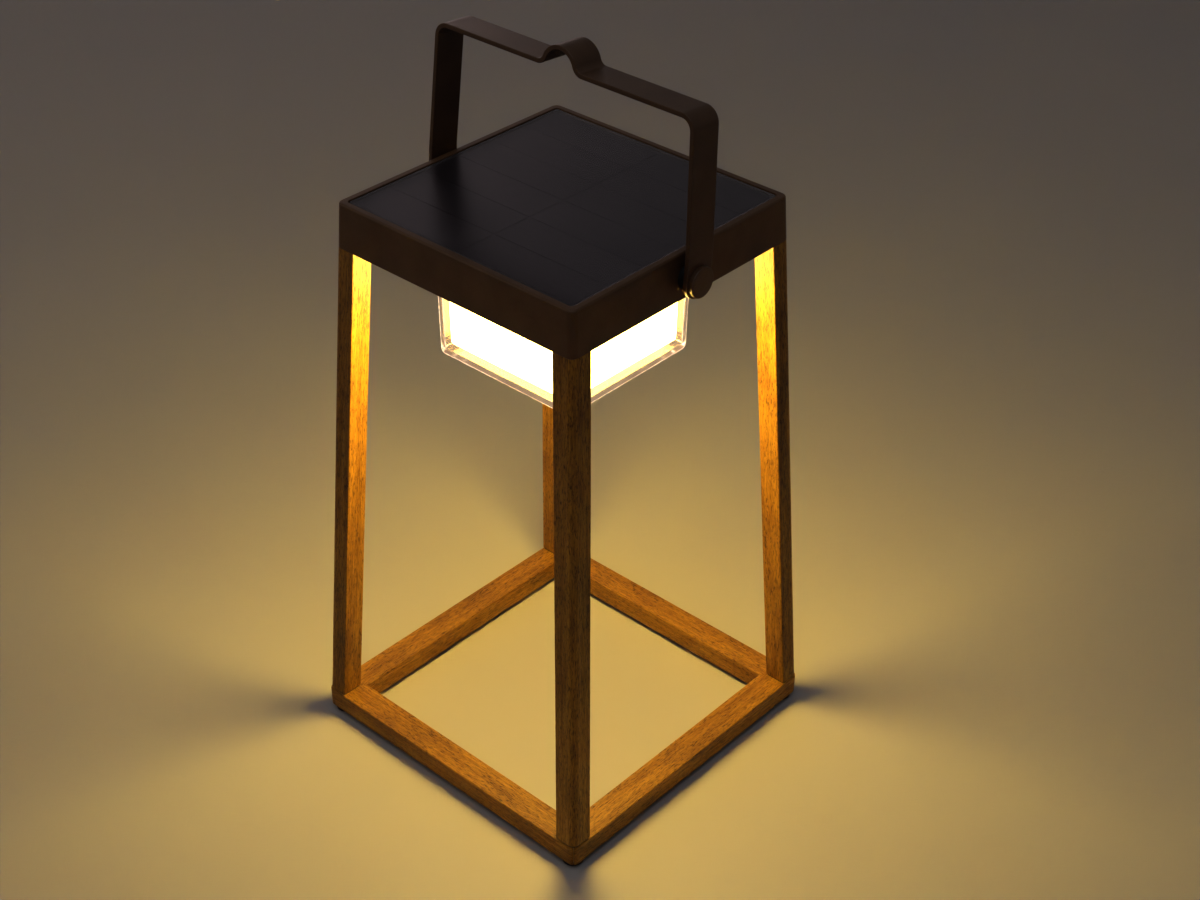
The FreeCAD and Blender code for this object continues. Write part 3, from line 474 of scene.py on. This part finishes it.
def frosted_glow():
    """Frosted cup lit from inside: its walls glow most just above its floor, and less towards
    the head, and the floor itself less than they do.
    """
    made, tree, shader = blank_finish("frosted_glow")
    place = own_place(tree)
    split = tree.nodes.new("ShaderNodeSeparateXYZ")
    tree.links.new(place, split.inputs[0])
    low, high = float(cup_low[2]), float(cup_high[2])
    floor_glow, wall_glow, head_share = 32.0, 82.0, 0.16
    rising = between(tree, split.outputs["Z"], low + 1.5 * MM, low + 9 * MM, floor_glow, wall_glow)
    falling = between(tree, split.outputs["Z"], low + 18 * MM, high - 8 * MM, 1.0, head_share)
    feed(tree, shader, "Emission Strength", combined(tree, "MULTIPLY", rising, falling))
    frost = mottle(tree, place, 1800, 2.0)
    shader.inputs["Emission Color"].default_value = (1.0, 0.70, 0.15, 1)
    feed(tree, shader, "Base Color", blend_colours(tree, frost, (0.86, 0.84, 0.80), (0.92, 0.90, 0.86)))
    shader.inputs["Roughness"].default_value = 0.55
    relief(tree, shader, frost, 0.02 * MM, 0.5)
    return made


def lamp_chip():
    """Yellow phosphor chip that gives light, with a paler rim."""
    made, tree, shader = blank_finish("lamp_chip")
    speck = mottle(tree, own_place(tree), 900, 2.0)
    feed(tree, shader, "Base Color", blend_colours(tree, speck, (0.80, 0.55, 0.10), (0.95, 0.75, 0.25)))
    shader.inputs["Emission Color"].default_value = (1.0, 0.62, 0.28, 1)
    shader.inputs["Emission Strength"].default_value = 12.0
    shader.inputs["Roughness"].default_value = 0.4
    return made


def line_pattern(tree, value, pitch, width):
    """1 on lines `width` wide, one every pitch, and 0 between them."""
    phase = combined(tree, "PINGPONG", value, pitch / 2)
    return combined(tree, "LESS_THAN", phase, width / 2)


def solar_cell():
    """Near-black silicon with silver fingers across and busbars along each strip."""
    made, tree, shader = blank_finish("solar_cell")
    place = own_place(tree)
    split = tree.nodes.new("ShaderNodeSeparateXYZ")
    tree.links.new(place, split.inputs[0])
    fingers = line_pattern(tree, split.outputs["X"], 2.2 * MM, 0.10 * MM)
    busbars = line_pattern(tree, split.outputs["Y"], 10.0 * MM, 0.55 * MM)
    silver = combined(tree, "MAXIMUM", fingers, busbars)
    crystal = mottle(tree, place, 90, 2.0)
    silicon = blend_colours(tree, crystal, (0.008, 0.005, 0.008), (0.014, 0.009, 0.014))
    feed(tree, shader, "Base Color", blend_colours(tree, silver, silicon, (0.085, 0.078, 0.088)))
    shader.inputs["Roughness"].default_value = 0.35
    return made


def circuit_board(name, colour, copper):
    """Board with a solder mask over faint square tracks."""
    made, tree, shader = blank_finish(name)
    place = own_place(tree)
    cells = tree.nodes.new("ShaderNodeTexVoronoi")
    cells.distance = "CHEBYCHEV"
    cells.inputs["Scale"].default_value = 320
    tree.links.new(place, cells.inputs["Vector"])
    tracks = between(tree, cells.outputs["Distance"], 0.30, 0.36)
    feed(tree, shader, "Base Color", blend_colours(tree, tracks, colour, copper))
    feed(tree, shader, "Roughness", between(tree, tracks, 0, 1, 0.35, 0.48))
    return made


FINISHES = {
    "bronze_coat": powder_coat("bronze_coat_fine", (0.145, 0.076, 0.034), (0.105, 0.054, 0.024), 0.44),
    "bronze_strap": powder_coat("bronze_strap_satin", (0.125, 0.068, 0.035), (0.094, 0.050, 0.026), 0.36),
    "panel_glass": solar_glass(),
    "solar_cell": solar_cell(),
    "backsheet": moulded("black_backsheet", (0.006, 0.006, 0.008), 0.50),
    "black_plastic": moulded("black_nylon", (0.012, 0.012, 0.012), 0.48),
    "black_rubber": moulded("black_silicone", (0.015, 0.014, 0.014), 0.72, 2200, 0.03),
    "teak": oiled_teak(),
    # The clear cover's finish paints a glowing line on its edges and a faint glow over it.
    "clear_acrylic": clear_acrylic(),
    "frosted_acrylic": frosted_glow(),
    "stainless": bare_metal("brushed_stainless", (0.58, 0.57, 0.55), 0.30, (1, 8, 8)),
    "brass": bare_metal("turned_brass", (0.70, 0.48, 0.20), 0.28, (1, 1, 9)),
    "bare_aluminium": bare_metal("mill_aluminium", (0.75, 0.76, 0.77), 0.38, (1, 6, 1)),
    "circuit_board": circuit_board("green_board", (0.010, 0.055, 0.022), (0.020, 0.100, 0.040)),
    "lamp_board": circuit_board("white_board", (0.78, 0.78, 0.76), (0.70, 0.70, 0.68)),
    "lamp_chip": lamp_chip(),
    "battery_sleeve": moulded("battery_sleeve_film", (0.020, 0.120, 0.260), 0.30, 500, 0.01),
    "wire_cover": moulded("wire_cover_soft", (0.35, 0.030, 0.022), 0.42, 700, 0.01),
}


def dress_packed_nodes():
    """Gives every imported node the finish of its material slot."""
    for node in frame["nodes"].values():
        for slot in node.material_slots:
            slot.material = FINISHES[slot.material.name.split(".")[0]]


# ---- base ----
def rail_outline():
    """Closed outline of a rail as (inset from the outer face, level), with its outward
    direction and a 1 where the groove for the corner plates lifts it.

    Four quarter circles of the edge radius, with the groove's four corners between the two
    lower ones.
    """
    width, low, high, edge = RAIL_WIDTH, rail_low[2], rail_high[2], RAIL_EDGE
    wall = 0.1 * MM             # the groove's sides lean by this much
    groove = [(CHANNEL_INSET, low), (CHANNEL_INSET + wall, low),
              (width - CHANNEL_INSET - wall, low), (width - CHANNEL_INSET, low)]
    centres = [(edge, low + edge), (width - edge, low + edge),
               (width - edge, high - edge), (edge, high - edge)]
    rounds = [arc(centre, edge, start, start + 90, 4) for centre, start in zip(centres, (180, 270, 0, 90))]
    ways = [arc((0, 0), 1, start, start + 90, 4) for start in (180, 270, 0, 90)]
    outline = np.concatenate([rounds[0], groove, *rounds[1:]])
    way = np.concatenate([ways[0], [(0, -1)] * 4, *ways[1:]])
    lifted = np.zeros(len(outline))
    lifted[len(rounds[0]) + 1:len(rounds[0]) + 3] = 1
    return outline, way, lifted


def rail_line(inset, run):
    """Point a distance run past the left mitre on the line at an inset from the outer face.

    The line goes round the corner's arc, whose radius is the corner's less the inset, from
    the diagonal to the front, and then straight along X.
    """
    radius = np.maximum(OUTER_CORNER - inset, 0.3 * MM)
    centre = BASE_HALF - inset - radius
    bend = radius * math.pi / 4
    turn = math.pi / 4 + np.minimum(run / radius, math.pi / 4)
    x = -centre - radius * np.cos(turn) + np.maximum(run - bend, 0)
    return x, -centre - radius * np.sin(turn)


def front_rail():
    """The rail's outline carried from mitre to mitre, drawn in a little at both ends."""
    outline, way, lifted = rail_outline()
    runs = np.array([0, 0.1, 0.3, 0.8, 1.5, 2.2, 2.9, 3.5, 4.0]) * MM + MITRE_GAP
    short = np.maximum(MITRE_EASE - runs + MITRE_GAP, 0)
    ease = MITRE_EASE - np.sqrt(np.maximum(MITRE_EASE ** 2 - short ** 2, 0))
    drawn = outline[None] - way[None] * ease[:, None, None]
    inset, level = drawn[..., 0], drawn[..., 1] + lifted * CHANNEL_DEPTH
    x, y = rail_line(inset, runs[:, None])
    reach = BASE_HALF - PLATE_REACH - 0.2 * MM
    ends = []
    for at, lift in ((reach, 1.0), (reach - 0.2 * MM, 0.0)):
        ends.append(np.stack([np.full(len(outline), -at), outline[:, 0] - BASE_HALF,
                              outline[:, 1] + lifted * CHANNEL_DEPTH * lift], -1))
    left = np.concatenate([np.stack([x, y, level], -1), ends])
    return np.concatenate([left, left[::-1] * (-1, 1, 1)])


def make_rails():
    """Four rails, each the front one turned, with its own stretch of the wood's pattern."""
    rows = front_rail()
    for quarters, side in enumerate(("front", "right", "back", "left")):
        grain = rows.reshape(-1, 3) + (0.9 * quarters, 0.13 * quarters, 0.0)
        name = "base_rail_" + side
        make_piece("teak_" + name, [quarter_turned(skin(rows), quarters)], "lantern", "teak", [name], grain)


def make_feet():
    """Four round rubber feet, each a short cone with a shallow recess in the middle of its face
    and its lower edge rounded.
    """
    height = foot_high[2]
    radius = 8.0 * MM
    reach = foot_high[0] - radius
    edge = 0.6 * MM
    rounded = arc((radius - 0.8 * MM - edge, edge), edge, -90, -6, 5)
    recess = [(0.3 * MM, 0.5 * MM), (3.6 * MM, 0.5 * MM), (4.0 * MM, 0.1 * MM), (4.3 * MM, 0)]
    profile = np.concatenate([recess, rounded, [(radius, height), (0.3 * MM, height)]])
    shells = [turned(profile, (sx * reach, sy * reach, 0), sides=48) for sx in (-1, 1) for sy in (-1, 1)]
    make_piece("rubber_feet", shells, "lantern", "black_rubber", ["feet"])


def countersunk(x, y, face, length, shank, head):
    """Flat-headed screw pointing up, with a six-sided socket in its face.

    Each row is a ring; the socket's rows follow flat / cos(t mod 60 - 30 degrees).
    """
    sides = 36
    t = np.linspace(0, 2 * math.pi, sides, endpoint=False)
    flat = 0.55 * shank
    six = flat / np.cos(np.mod(t, math.pi / 3) - math.pi / 6)
    depth = 0.45 * (head - shank) + 0.6 * MM
    top = face + length
    round_rows = [(head - 0.1 * MM, face), (head, face + 0.12 * MM), (shank, face + head - shank),
                  (shank, top - 0.5 * MM), (0.5 * shank, top)]
    radii = np.array([six * 0.98, six, *[np.full(sides, radius) for radius, _ in round_rows]])
    levels = np.array([face + depth, face, *[level for _, level in round_rows]])
    heights = np.broadcast_to(levels[:, None], radii.shape)
    rows = np.stack([x + radii * np.cos(t), y + radii * np.sin(t), heights], -1)
    return skin(rows)


def make_screws():
    """The screws that show from below: in the corner plates, the legs and the bottom plate."""
    arm = BASE_HALF - PLATE_SCREW_REACH
    rail_middle = BASE_HALF - RAIL_WIDTH / 2
    leg_foot = leg_high[0] - LEG_SIDE / 2
    boss = plate_screw_high[0] - SMALL_SCREW_HEAD
    plate_screw = (rail_low[2], 12 * MM, 1.3 * MM, SMALL_SCREW_HEAD)
    leg_screw = (rail_low[2], 27 * MM, 1.95 * MM, 3.8 * MM)
    head_screw = (plate_low[2], 12 * MM, 1.45 * MM, SMALL_SCREW_HEAD)
    under_base, under_leg, under_head = [], [], []
    for sx in (-1, 1):
        for sy in (-1, 1):
            for x, y in ((rail_middle, arm), (arm, rail_middle)):
                under_base.append(countersunk(sx * x, sy * y, *plate_screw))
            under_leg.append(countersunk(sx * leg_foot, sy * leg_foot, *leg_screw))
            for x, y in ((boss, BOSS_ALONG), (BOSS_ALONG, boss)):
                under_head.append(countersunk(sx * x, sy * y, *head_screw))
    make_piece("corner_plate_socket_screws", under_base, "lantern", "stainless", ["corner_plate_screws"])
    make_piece("leg_foot_socket_screws", under_leg, "lantern", "stainless", ["leg_foot_screws"])
    make_piece("bottom_plate_socket_screws", under_head, "lantern", "stainless", ["bottom_plate_screws"])


# ---- legs ----
def make_legs():
    """Four square posts: a rounded square whose middle moves evenly inwards as it rises.

    The outer corner has the base's radius, the other three are only eased, and both ends are
    drawn in by a small round.
    """
    low, high = leg_low[2], leg_high[2]
    edge = 0.4 * MM
    under = arc((0, low + edge), edge, -90, 0, 3)
    over = arc((0, high - edge), edge, 0, 90, 3)
    profile = np.concatenate([under, over])
    inset = (edge - profile[:, 0])[:, None]
    corners = np.array([OUTER_CORNER, LEG_EASE, LEG_EASE, LEG_EASE])
    radius = np.maximum(corners[None] - inset, 0.1 * MM)
    rings = corner_rings(np.full((len(profile), 2), LEG_SIDE / 2) - inset, radius, 6)
    rise = (profile[:, 1] - low) / (high - low)
    foot, top = leg_high[0] - LEG_SIDE / 2, leg_low[0] + LEG_SIDE / 2
    middle = foot + (top - foot) * rise
    height = np.broadcast_to(profile[:, 1, None, None], rings[..., :1].shape)
    rows = np.concatenate([rings + middle[:, None, None], height], -1)
    straight = np.concatenate([height, rings], -1).reshape(-1, 3)
    for quarters, corner in enumerate(("back_right", "back_left", "front_left", "front_right")):
        grain = straight + (0.7 * quarters + 0.21, 0.17 * quarters + 0.07, 0.05)
        name = "leg_" + corner
        make_piece("teak_" + name, [quarter_turned(skin(rows), quarters)], "lantern", "teak", [name], grain)


# ---- head ----
def head_rows():
    """Section of the head's wall carried round a rounded square, as a closed loop.

    It runs up the tapered outer face, over the rounded rim, down into the panel's recess,
    round the ledge and down the inside.
    """
    low, high = head_low[2], head_high[2]
    foot_half, top_half = head_high[0], head_high[0] - HEAD_TAPER
    foot_edge, rim_edge, recess_edge = 0.4 * MM, 1.5 * MM, 0.35 * MM
    ledge = high - LEDGE_DROP
    outer = np.concatenate([arc((foot_half - foot_edge, low + foot_edge), foot_edge, -90, 0, 3),
                            arc((top_half - rim_edge, high - rim_edge), rim_edge, 0, 90, 8)])
    face = np.concatenate([np.full(4, foot_half), np.full(9, top_half)])
    outer_radius = OUTER_CORNER - (face - outer[:, 0])
    lip = arc((RECESS_HALF + recess_edge, high - recess_edge), recess_edge, 90, 180, 4)
    inner = np.array([(RECESS_HALF, ledge), (OPENING_HALF, ledge), (OPENING_HALF, ledge - LEDGE_THICK),
                      (HEAD_WALL_HALF, ledge - LEDGE_THICK), (HEAD_WALL_HALF, low)])
    profile = np.concatenate([outer, lip, inner])
    recess_corner = 2.6 * MM
    inner_radius = np.array([recess_corner, *[3.0 * MM] * 4])
    radius = np.concatenate([outer_radius, recess_corner + lip[:, 0] - RECESS_HALF, inner_radius])
    return square_rows(profile[:, 0], radius, profile[:, 1])


def make_head():
    """The head's shell, and inside it the pads over the legs and the bosses for the screws."""
    make_piece("head_shell", [skin(head_rows(), joined=True)], "lantern", "bronze_coat", ["head_housing"])
    pad_half = (HEAD_WALL_HALF + WALL_BITE - (leg_low[0] - 0.2 * MM)) / 2
    pad_middle = HEAD_WALL_HALF + WALL_BITE - pad_half
    pad_top = head_low[2] + 8.0 * MM
    corner = np.array([2.6, 0.5, 0.5, 0.5]) * MM
    pad = slab((pad_middle, pad_middle), (pad_half, pad_half), corner, head_low[2], pad_top, 0.3 * MM)
    half, depth = 4.0 * MM, 5.0 * MM
    middle = HEAD_WALL_HALF + WALL_BITE - depth
    top = head_high[2] - LEDGE_DROP - LEDGE_THICK
    blocks = []
    for quarters in range(4):
        blocks.append(quarter_turned(pad, quarters))
        for along in (-BOSS_ALONG, BOSS_ALONG):
            boss = slab((middle, along), (depth, half), 0.5 * MM, plate_high[2], top, 0.2 * MM)
            blocks.append(quarter_turned(boss, quarters))
    make_piece("head_pads_and_bosses", blocks, "lantern", "bronze_coat")


def make_panel_glass():
    """Flat glass with polished edges, a hair above the cells."""
    half = glass_high[0]
    gap = 0.05 * MM
    plate = slab((0, 0), (half, half), 2.0 * MM, glass_low[2] + gap, glass_high[2], 0.4 * MM)
    make_piece("panel_cover_glass", [plate], "lantern", "panel_glass", ["panel_glass"])


# ---- lamp ----
def lamp_cup(low, top, low_half, top_half, wall, corner, flange_half, flange_corner, flange_low):
    """Open box with a flange, as rounded-square rows from the middle of its floor outside,
    up its walls, over the flange and down to the middle of its floor inside.

    The walls are half = low_half + slope (level - low), and the inside is the same a wall
    thickness in.
    """
    slope = (top_half - low_half) / (top - low)
    edge = corner / 2
    inner_corner = max(corner - wall, 1.5 * MM)
    inner_edge = 1.2 * MM
    lip = 0.3 * MM
    under = arc((low_half - edge, low + edge), edge, -90, 0, 8)
    neck = np.array([(low_half + slope * (flange_low - low), flange_low)])
    brim = np.concatenate([arc((flange_half - lip, flange_low + lip), lip, -90, 0, 3),
                           arc((flange_half - lip, top - lip), lip, 0, 90, 3)])
    mouth = np.array([(top_half - wall, top)])
    floor = low + wall
    floor_half = low_half - wall + slope * wall
    inside = arc((floor_half - inner_edge, floor + inner_edge), inner_edge, 0, -90, 5)
    profile = np.concatenate([under, neck, brim, mouth, inside])
    radius = np.concatenate([corner - low_half + under[:, 0], [corner], np.full(len(brim), flange_corner),
                             [inner_corner], inner_corner - floor_half + inside[:, 0]])
    return square_rows(profile[:, 0], radius, profile[:, 1], steps=10)


def make_lamp():
    """The clear cover, and the frosted cup whose flange lies on the cover's."""
    clear = lamp_cup(cover_low[2], cover_high[2], COVER_HALF_LOW, COVER_HALF_TOP, COVER_WALL, COVER_CORNER,
                     cover_high[0], 8.5 * MM, cover_high[2] - COVER_FLANGE)
    make_piece("clear_lamp_cover", [skin(clear)], "lantern", "clear_acrylic", ["diffuser_outer"])
    frosted = lamp_cup(cup_low[2], cup_high[2], CUP_HALF_LOW, CUP_HALF_TOP, CUP_WALL, CUP_CORNER,
                       cup_high[0], 7.0 * MM, cover_high[2] + 0.05 * MM)
    make_piece("frosted_lamp_cup", [skin(frosted)], "lantern", "frosted_acrylic", ["diffuser_inner"])


# ---- handle ----
def strap_line():
    """Middle line of the strap in the XZ plane of the pivot, from one side to the other.

    It is runs joined by arcs: up the side, round the shoulder, along the grip, down into the
    dip and over half the hump, and then the same in mirror image.
    """
    half = STRAP_THICK / 2
    corner, tab, ease, dip, crown = np.array([8.5, 16.0, 30.0, 6.5, 12.5]) * MM
    lean, sweep = math.radians(STRAP_LEAN), math.radians(HUMP_SWEEP)
    rise = tab + ease * math.sin(lean)
    straight_top = GRIP_LEVEL - half - corner + corner * math.sin(lean)
    side_run = (straight_top - rise) / math.cos(lean)
    shift = ease * (1 - math.cos(lean)) + side_run * math.sin(lean) + corner * math.cos(lean)
    grip_run = strap_high[0] - half - shift - (dip + crown) * math.sin(sweep)
    steps = [("run", tab - STRAP_WIDTH / 2), ("bend", ease, STRAP_LEAN, 4), ("run", side_run),
             ("bend", corner, 90 - STRAP_LEAN, 14), ("run", grip_run),
             ("bend", dip, -HUMP_SWEEP, 10), ("bend", crown, HUMP_SWEEP, 16)]
    place = np.array([strap_high[0] - half, STRAP_WIDTH / 2])
    heading = math.pi / 2
    line = [place]
    for step in steps:
        if step[0] == "run":
            place = place + step[1] * np.array([math.cos(heading), math.sin(heading)])
            line.append(place)
            continue
        way = math.copysign(1.0, step[2])
        centre = place + way * step[1] * np.array([-math.sin(heading), math.cos(heading)])
        start = math.degrees(heading) - way * 90
        curve = arc(centre, step[1], start, start + step[2], step[3])[1:]
        line += list(curve)
        place = curve[-1]
        heading += math.radians(step[2])
    line = np.array(line)
    return np.concatenate([line, line[-2::-1] * (-1, 1)])


def strap_end(side, across):
    """Flat end of the strap round its pivot hole, as rings from the hole to the edge.

    The edge is at half / max(|cos t|, sin t) above the pivot, which is square, and at half
    below it, which is round.
    """
    half, hole = STRAP_WIDTH / 2, 4.05 * MM
    t = np.linspace(0, 2 * math.pi, 4 * (len(across) - 1), endpoint=False)
    edge = np.where(np.sin(t) > 0, half / np.maximum(np.abs(np.cos(t)), np.sin(t)), half)
    share = np.linspace(0, 1, 5)[:, None]
    radius = hole + (edge - hole) * share
    x = np.full(radius.shape, side * (strap_high[0] - STRAP_THICK / 2))
    return np.stack([x, radius * np.cos(t), radius * np.sin(t)], -1)


def make_strap():
    """The strap as a thin sheet, a grid along its line with a ring of quads round each hole,
    then thickened and its edges eased.
    """
    half = STRAP_WIDTH / 2
    quarter = np.linspace(math.pi / 4, 3 * math.pi / 4, 17)
    across = half / np.tan(quarter)
    line = strap_line()
    grid = (len(line), len(across))
    bar = np.stack([np.broadcast_to(line[:, 0, None], grid), np.broadcast_to(across, grid),
                    np.broadcast_to(line[:, 1, None], grid)], -1)
    index = np.arange(bar.shape[0] * bar.shape[1]).reshape(bar.shape[:2])
    quads = [np.stack([index[:-1, :-1], index[:-1, 1:], index[1:, 1:], index[1:, :-1]], -1).reshape(-1, 4)]
    points = [bar.reshape(-1, 3)]
    start = len(points[0])
    for side in (1, -1):
        rings = strap_end(side, across)
        index = np.arange(rings.shape[0] * rings.shape[1]).reshape(rings.shape[:2]) + start
        ring = np.stack([index[:-1], np.roll(index[:-1], -1, 1), np.roll(index[1:], -1, 1), index[1:]], -1)
        quads.append(ring.reshape(-1, 4))
        points.append(rings.reshape(-1, 3))
        start += rings.shape[0] * rings.shape[1]
    lean = math.radians(HANDLE_LEAN)
    tilt = np.array([[1, 0, 0],
                     [0, math.cos(lean), -math.sin(lean)],
                     [0, math.sin(lean), math.cos(lean)]])
    mesh = bpy.data.meshes.new("handle_bar")
    mesh.from_pydata((np.concatenate(points) @ tilt + PIVOT).tolist(), [], np.concatenate(quads).tolist())
    sheet = bmesh.new()
    sheet.from_mesh(mesh)
    bmesh.ops.remove_doubles(sheet, verts=sheet.verts, dist=0.001 * MM)
    bmesh.ops.recalc_face_normals(sheet, faces=sheet.faces)
    sheet.to_mesh(mesh)
    sheet.free()
    piece = finish_piece("handle_bar", mesh, "handle", "bronze_strap", ["handle_strap"], 50)
    thick = piece.modifiers.new("thickness", "SOLIDIFY")
    thick.thickness = STRAP_THICK
    thick.offset = 0.0
    thick.use_even_offset = True
    eased = piece.modifiers.new("eased_edges", "BEVEL")
    eased.width = STRAP_EASE
    eased.segments = 3
    eased.limit_method = "ANGLE"
    eased.angle_limit = math.radians(50)
    piece.modifiers.move(0, 2)


def make_pivots():
    """Turned pivot hardware, the same on both sides: bolt caps, bushes and washers."""
    cap_radius, cap_edge, cap_thick, shank = 10.0 * MM, 0.8 * MM, 3.2 * MM, 2.95 * MM
    collar, collar_ease, sleeve, bore = 8.0 * MM, 0.3 * MM, 4.0 * MM, 3.05 * MM
    washer_bore, washer_ease, gap = 4.05 * MM, 0.1 * MM, 0.05 * MM
    caps, bushes, washers = [], [], []
    for side in (-1, 1):
        face = side * bolt_high[0]
        back = side * (bolt_high[0] - cap_thick)
        rim = arc((cap_radius - cap_edge, 0), cap_edge, 0, 90, 5)
        bolt = [(0.4 * MM, side * BOLT_START), (shank, side * (BOLT_START + 0.5 * MM)),
                (shank, back), (cap_radius - 0.15 * MM, back)]
        bolt += [(radius, face - side * (cap_edge - rise)) for radius, rise in rim]
        bolt += [(0.3 * MM, face)]
        caps.append(turned(bolt, PIVOT, "x", 72))
        seat = side * (washer_high[0] - WASHER_THICK)
        start, stop, end = side * BUSH_START, seat - side * gap, side * bush_high[0]
        bush = [(bore, start), (collar - collar_ease, start), (collar, start + side * collar_ease),
                (collar, stop - side * collar_ease), (collar - collar_ease, stop),
                (sleeve, stop), (sleeve, end), (bore, end)]
        bushes.append(turned(bush, PIVOT, "x", 64, joined=True))
        top = side * washer_high[0]
        washer = [(washer_bore, seat), (collar - washer_ease, seat),
                  (collar, seat + side * 1.5 * washer_ease), (collar, top - side * 1.5 * washer_ease),
                  (collar - washer_ease, top), (washer_bore, top)]
        washers.append(turned(washer, PIVOT, "x", 64, joined=True))
    make_piece("pivot_bolt_caps", caps, "lantern", "bronze_strap", ["pivot_bolts"])
    make_piece("pivot_collar_bushes", bushes, "lantern", "black_plastic", ["pivot_bushes"])
    make_piece("pivot_thrust_washers", washers, "lantern", "black_plastic", ["pivot_washers"])


# ---- controls under the head ----
def make_power_button():
    """Round button: a dished cap with a soft edge, its collar and its stem."""
    x, y = (button_low[:2] + button_high[:2]) / 2
    low, high = button_low[2], button_high[2]
    cap, collar, collar_thick, stem, edge = 6.1 * MM, 7.6 * MM, 1.0 * MM, 2.5 * MM, 0.8 * MM
    seat = plate_high[2] + 0.05 * MM
    dish = np.linspace(0.05, 1, 7) * (cap - edge - 0.4 * MM)
    hollow = 0.35 * MM * (1 - (dish / dish[-1]) ** 2)
    rim = arc((cap - edge, low + edge), edge, -90, 0, 5)
    steps = [(cap, seat), (collar, seat), (collar, seat + collar_thick),
             (stem, seat + collar_thick), (stem, high), (0.3 * MM, high)]
    profile = np.concatenate([np.stack([dish, low + hollow], -1), rim, steps])
    button = turned(profile, (x, y, 0))
    make_piece("power_button_cap", [button], "power_button", "black_rubber", ["power_button"])


def make_port_flap():
    """Soft flap of the charging port: a rounded plate, its lip above and its rolled hinge."""
    hinge = np.array(joints["port_cover_hinge"]["pos_m"])
    thick = 1.2 * MM
    low = flap_low[2]
    front, back = hinge[1] + 0.2 * MM, flap_high[1]
    middle = (hinge[0], (front + back) / 2)
    corner = np.array([2.5, 2.5, 0.4, 0.4]) * MM
    plate = slab(middle, (9 * MM, (back - front) / 2), corner, low, low + thick, 0.35 * MM)
    port = hinge[1] + 9.0 * MM
    lip_low = low + thick - 0.1 * MM
    lip = slab((hinge[0], port), (5.5 * MM, 2.5 * MM), 2.4 * MM, lip_low, flap_high[2], 0.3 * MM)
    reach, radius = 8.0 * MM, 0.45 * thick
    roll_profile = [(0.1 * MM, -reach), (radius, 0.2 * MM - reach),
                    (radius, reach - 0.2 * MM), (0.1 * MM, reach)]
    roll = turned(roll_profile, hinge, "x", 24)
    make_piece("port_flap", [plate, lip, roll], "port_cover", "black_rubber", ["port_cover"])


# ---- studio ----
CAMERA_TARGET = (0.01783, 0.01592, 0.22027)
CAMERA_DISTANCE = 1.3086
CAMERA_AZIMUTH = 41.76
CAMERA_ELEVATION = 34.33
CAMERA_ROLL = 0.61
CAMERA_LENS = 59.04


def make_camera():
    """Camera on a sphere about its target, rolled a little about its own line of sight."""
    azimuth, elevation, roll = (math.radians(a) for a in (CAMERA_AZIMUTH, CAMERA_ELEVATION, CAMERA_ROLL))
    back = np.array([math.sin(azimuth) * math.cos(elevation), -math.cos(azimuth) * math.cos(elevation),
                     math.sin(elevation)])
    right = np.array([math.cos(azimuth), math.sin(azimuth), 0])
    up = np.cross(back, right)
    across = math.cos(roll) * right + math.sin(roll) * up
    upright = math.cos(roll) * up - math.sin(roll) * right
    camera = bpy.data.objects.new("camera", bpy.data.cameras.new("camera"))
    bpy.context.scene.collection.objects.link(camera)
    camera.data.lens = CAMERA_LENS
    camera.data.sensor_width = 36.0
    matrix = np.eye(4)
    matrix[:3, 0], matrix[:3, 1], matrix[:3, 2] = across, upright, back
    matrix[:3, 3] = np.array(CAMERA_TARGET) + CAMERA_DISTANCE * back
    camera.matrix_world = Matrix(matrix.tolist())
    bpy.context.scene.camera = camera


def make_floor():
    """Wide pale floor with a very faint mottle."""
    made, tree, shader = blank_finish("pale_floor")
    cloud = mottle(tree, own_place(tree), 3.0, 3.0)
    feed(tree, shader, "Base Color", blend_colours(tree, cloud, (0.42, 0.39, 0.36), (0.45, 0.42, 0.39)))
    shader.inputs["Roughness"].default_value = 0.85
    reach = 8.0
    mesh = bpy.data.meshes.new("floor")
    corners = [(-reach, -reach, 0), (reach, -reach, 0), (reach, reach, 0), (-reach, reach, 0)]
    mesh.from_pydata(corners, [], [(0, 1, 2, 3)])
    mesh.materials.append(made)
    floor = bpy.data.objects.new("floor", mesh)
    bpy.context.scene.collection.objects.link(floor)


def soft_light(name, place, aim, size, power, colour):
    """Square soft box at a place, facing a point."""
    lamp = bpy.data.lights.new(name, "AREA")
    lamp.size, lamp.energy, lamp.color = size, power, colour
    box = bpy.data.objects.new(name, lamp)
    bpy.context.scene.collection.objects.link(box)
    box.location = place
    box.rotation_euler = (Vector(aim) - Vector(place)).to_track_quat("-Z", "Y").to_euler()


def make_light():
    """A dim even room and three soft boxes; the lamp itself gives most of the light."""
    world = bpy.data.worlds.new("dim_room")
    bpy.context.scene.world = world
    world.use_nodes = True
    background = world.node_tree.nodes["Background"]
    background.inputs["Color"].default_value = (0.78, 0.73, 0.74, 1)
    background.inputs["Strength"].default_value = 0.115
    view = bpy.context.scene.view_settings
    view.view_transform = "Standard"
    view.look = "Medium High Contrast"
    middle = (0, 0, 0.25)
    soft_light("overhead", (0.5, -0.7, 2.6), middle, 2.0, 6.5, (0.80, 0.88, 1.0))
    soft_light("left_fill", (-1.9, -1.1, 1.2), middle, 1.4, 3.4, (1.0, 0.82, 0.66))
    soft_light("low_back_glow", (-2.6, 2.0, 0.95), (0, 0, 0.45), 0.9, 2.4, (1.0, 0.80, 0.78))


make_camera()
make_floor()
make_light()
dress_packed_nodes()
make_rails()
make_feet()
make_screws()
make_legs()
make_head()
make_panel_glass()
make_lamp()
make_strap()
make_pivots()
make_power_button()
make_port_flap()
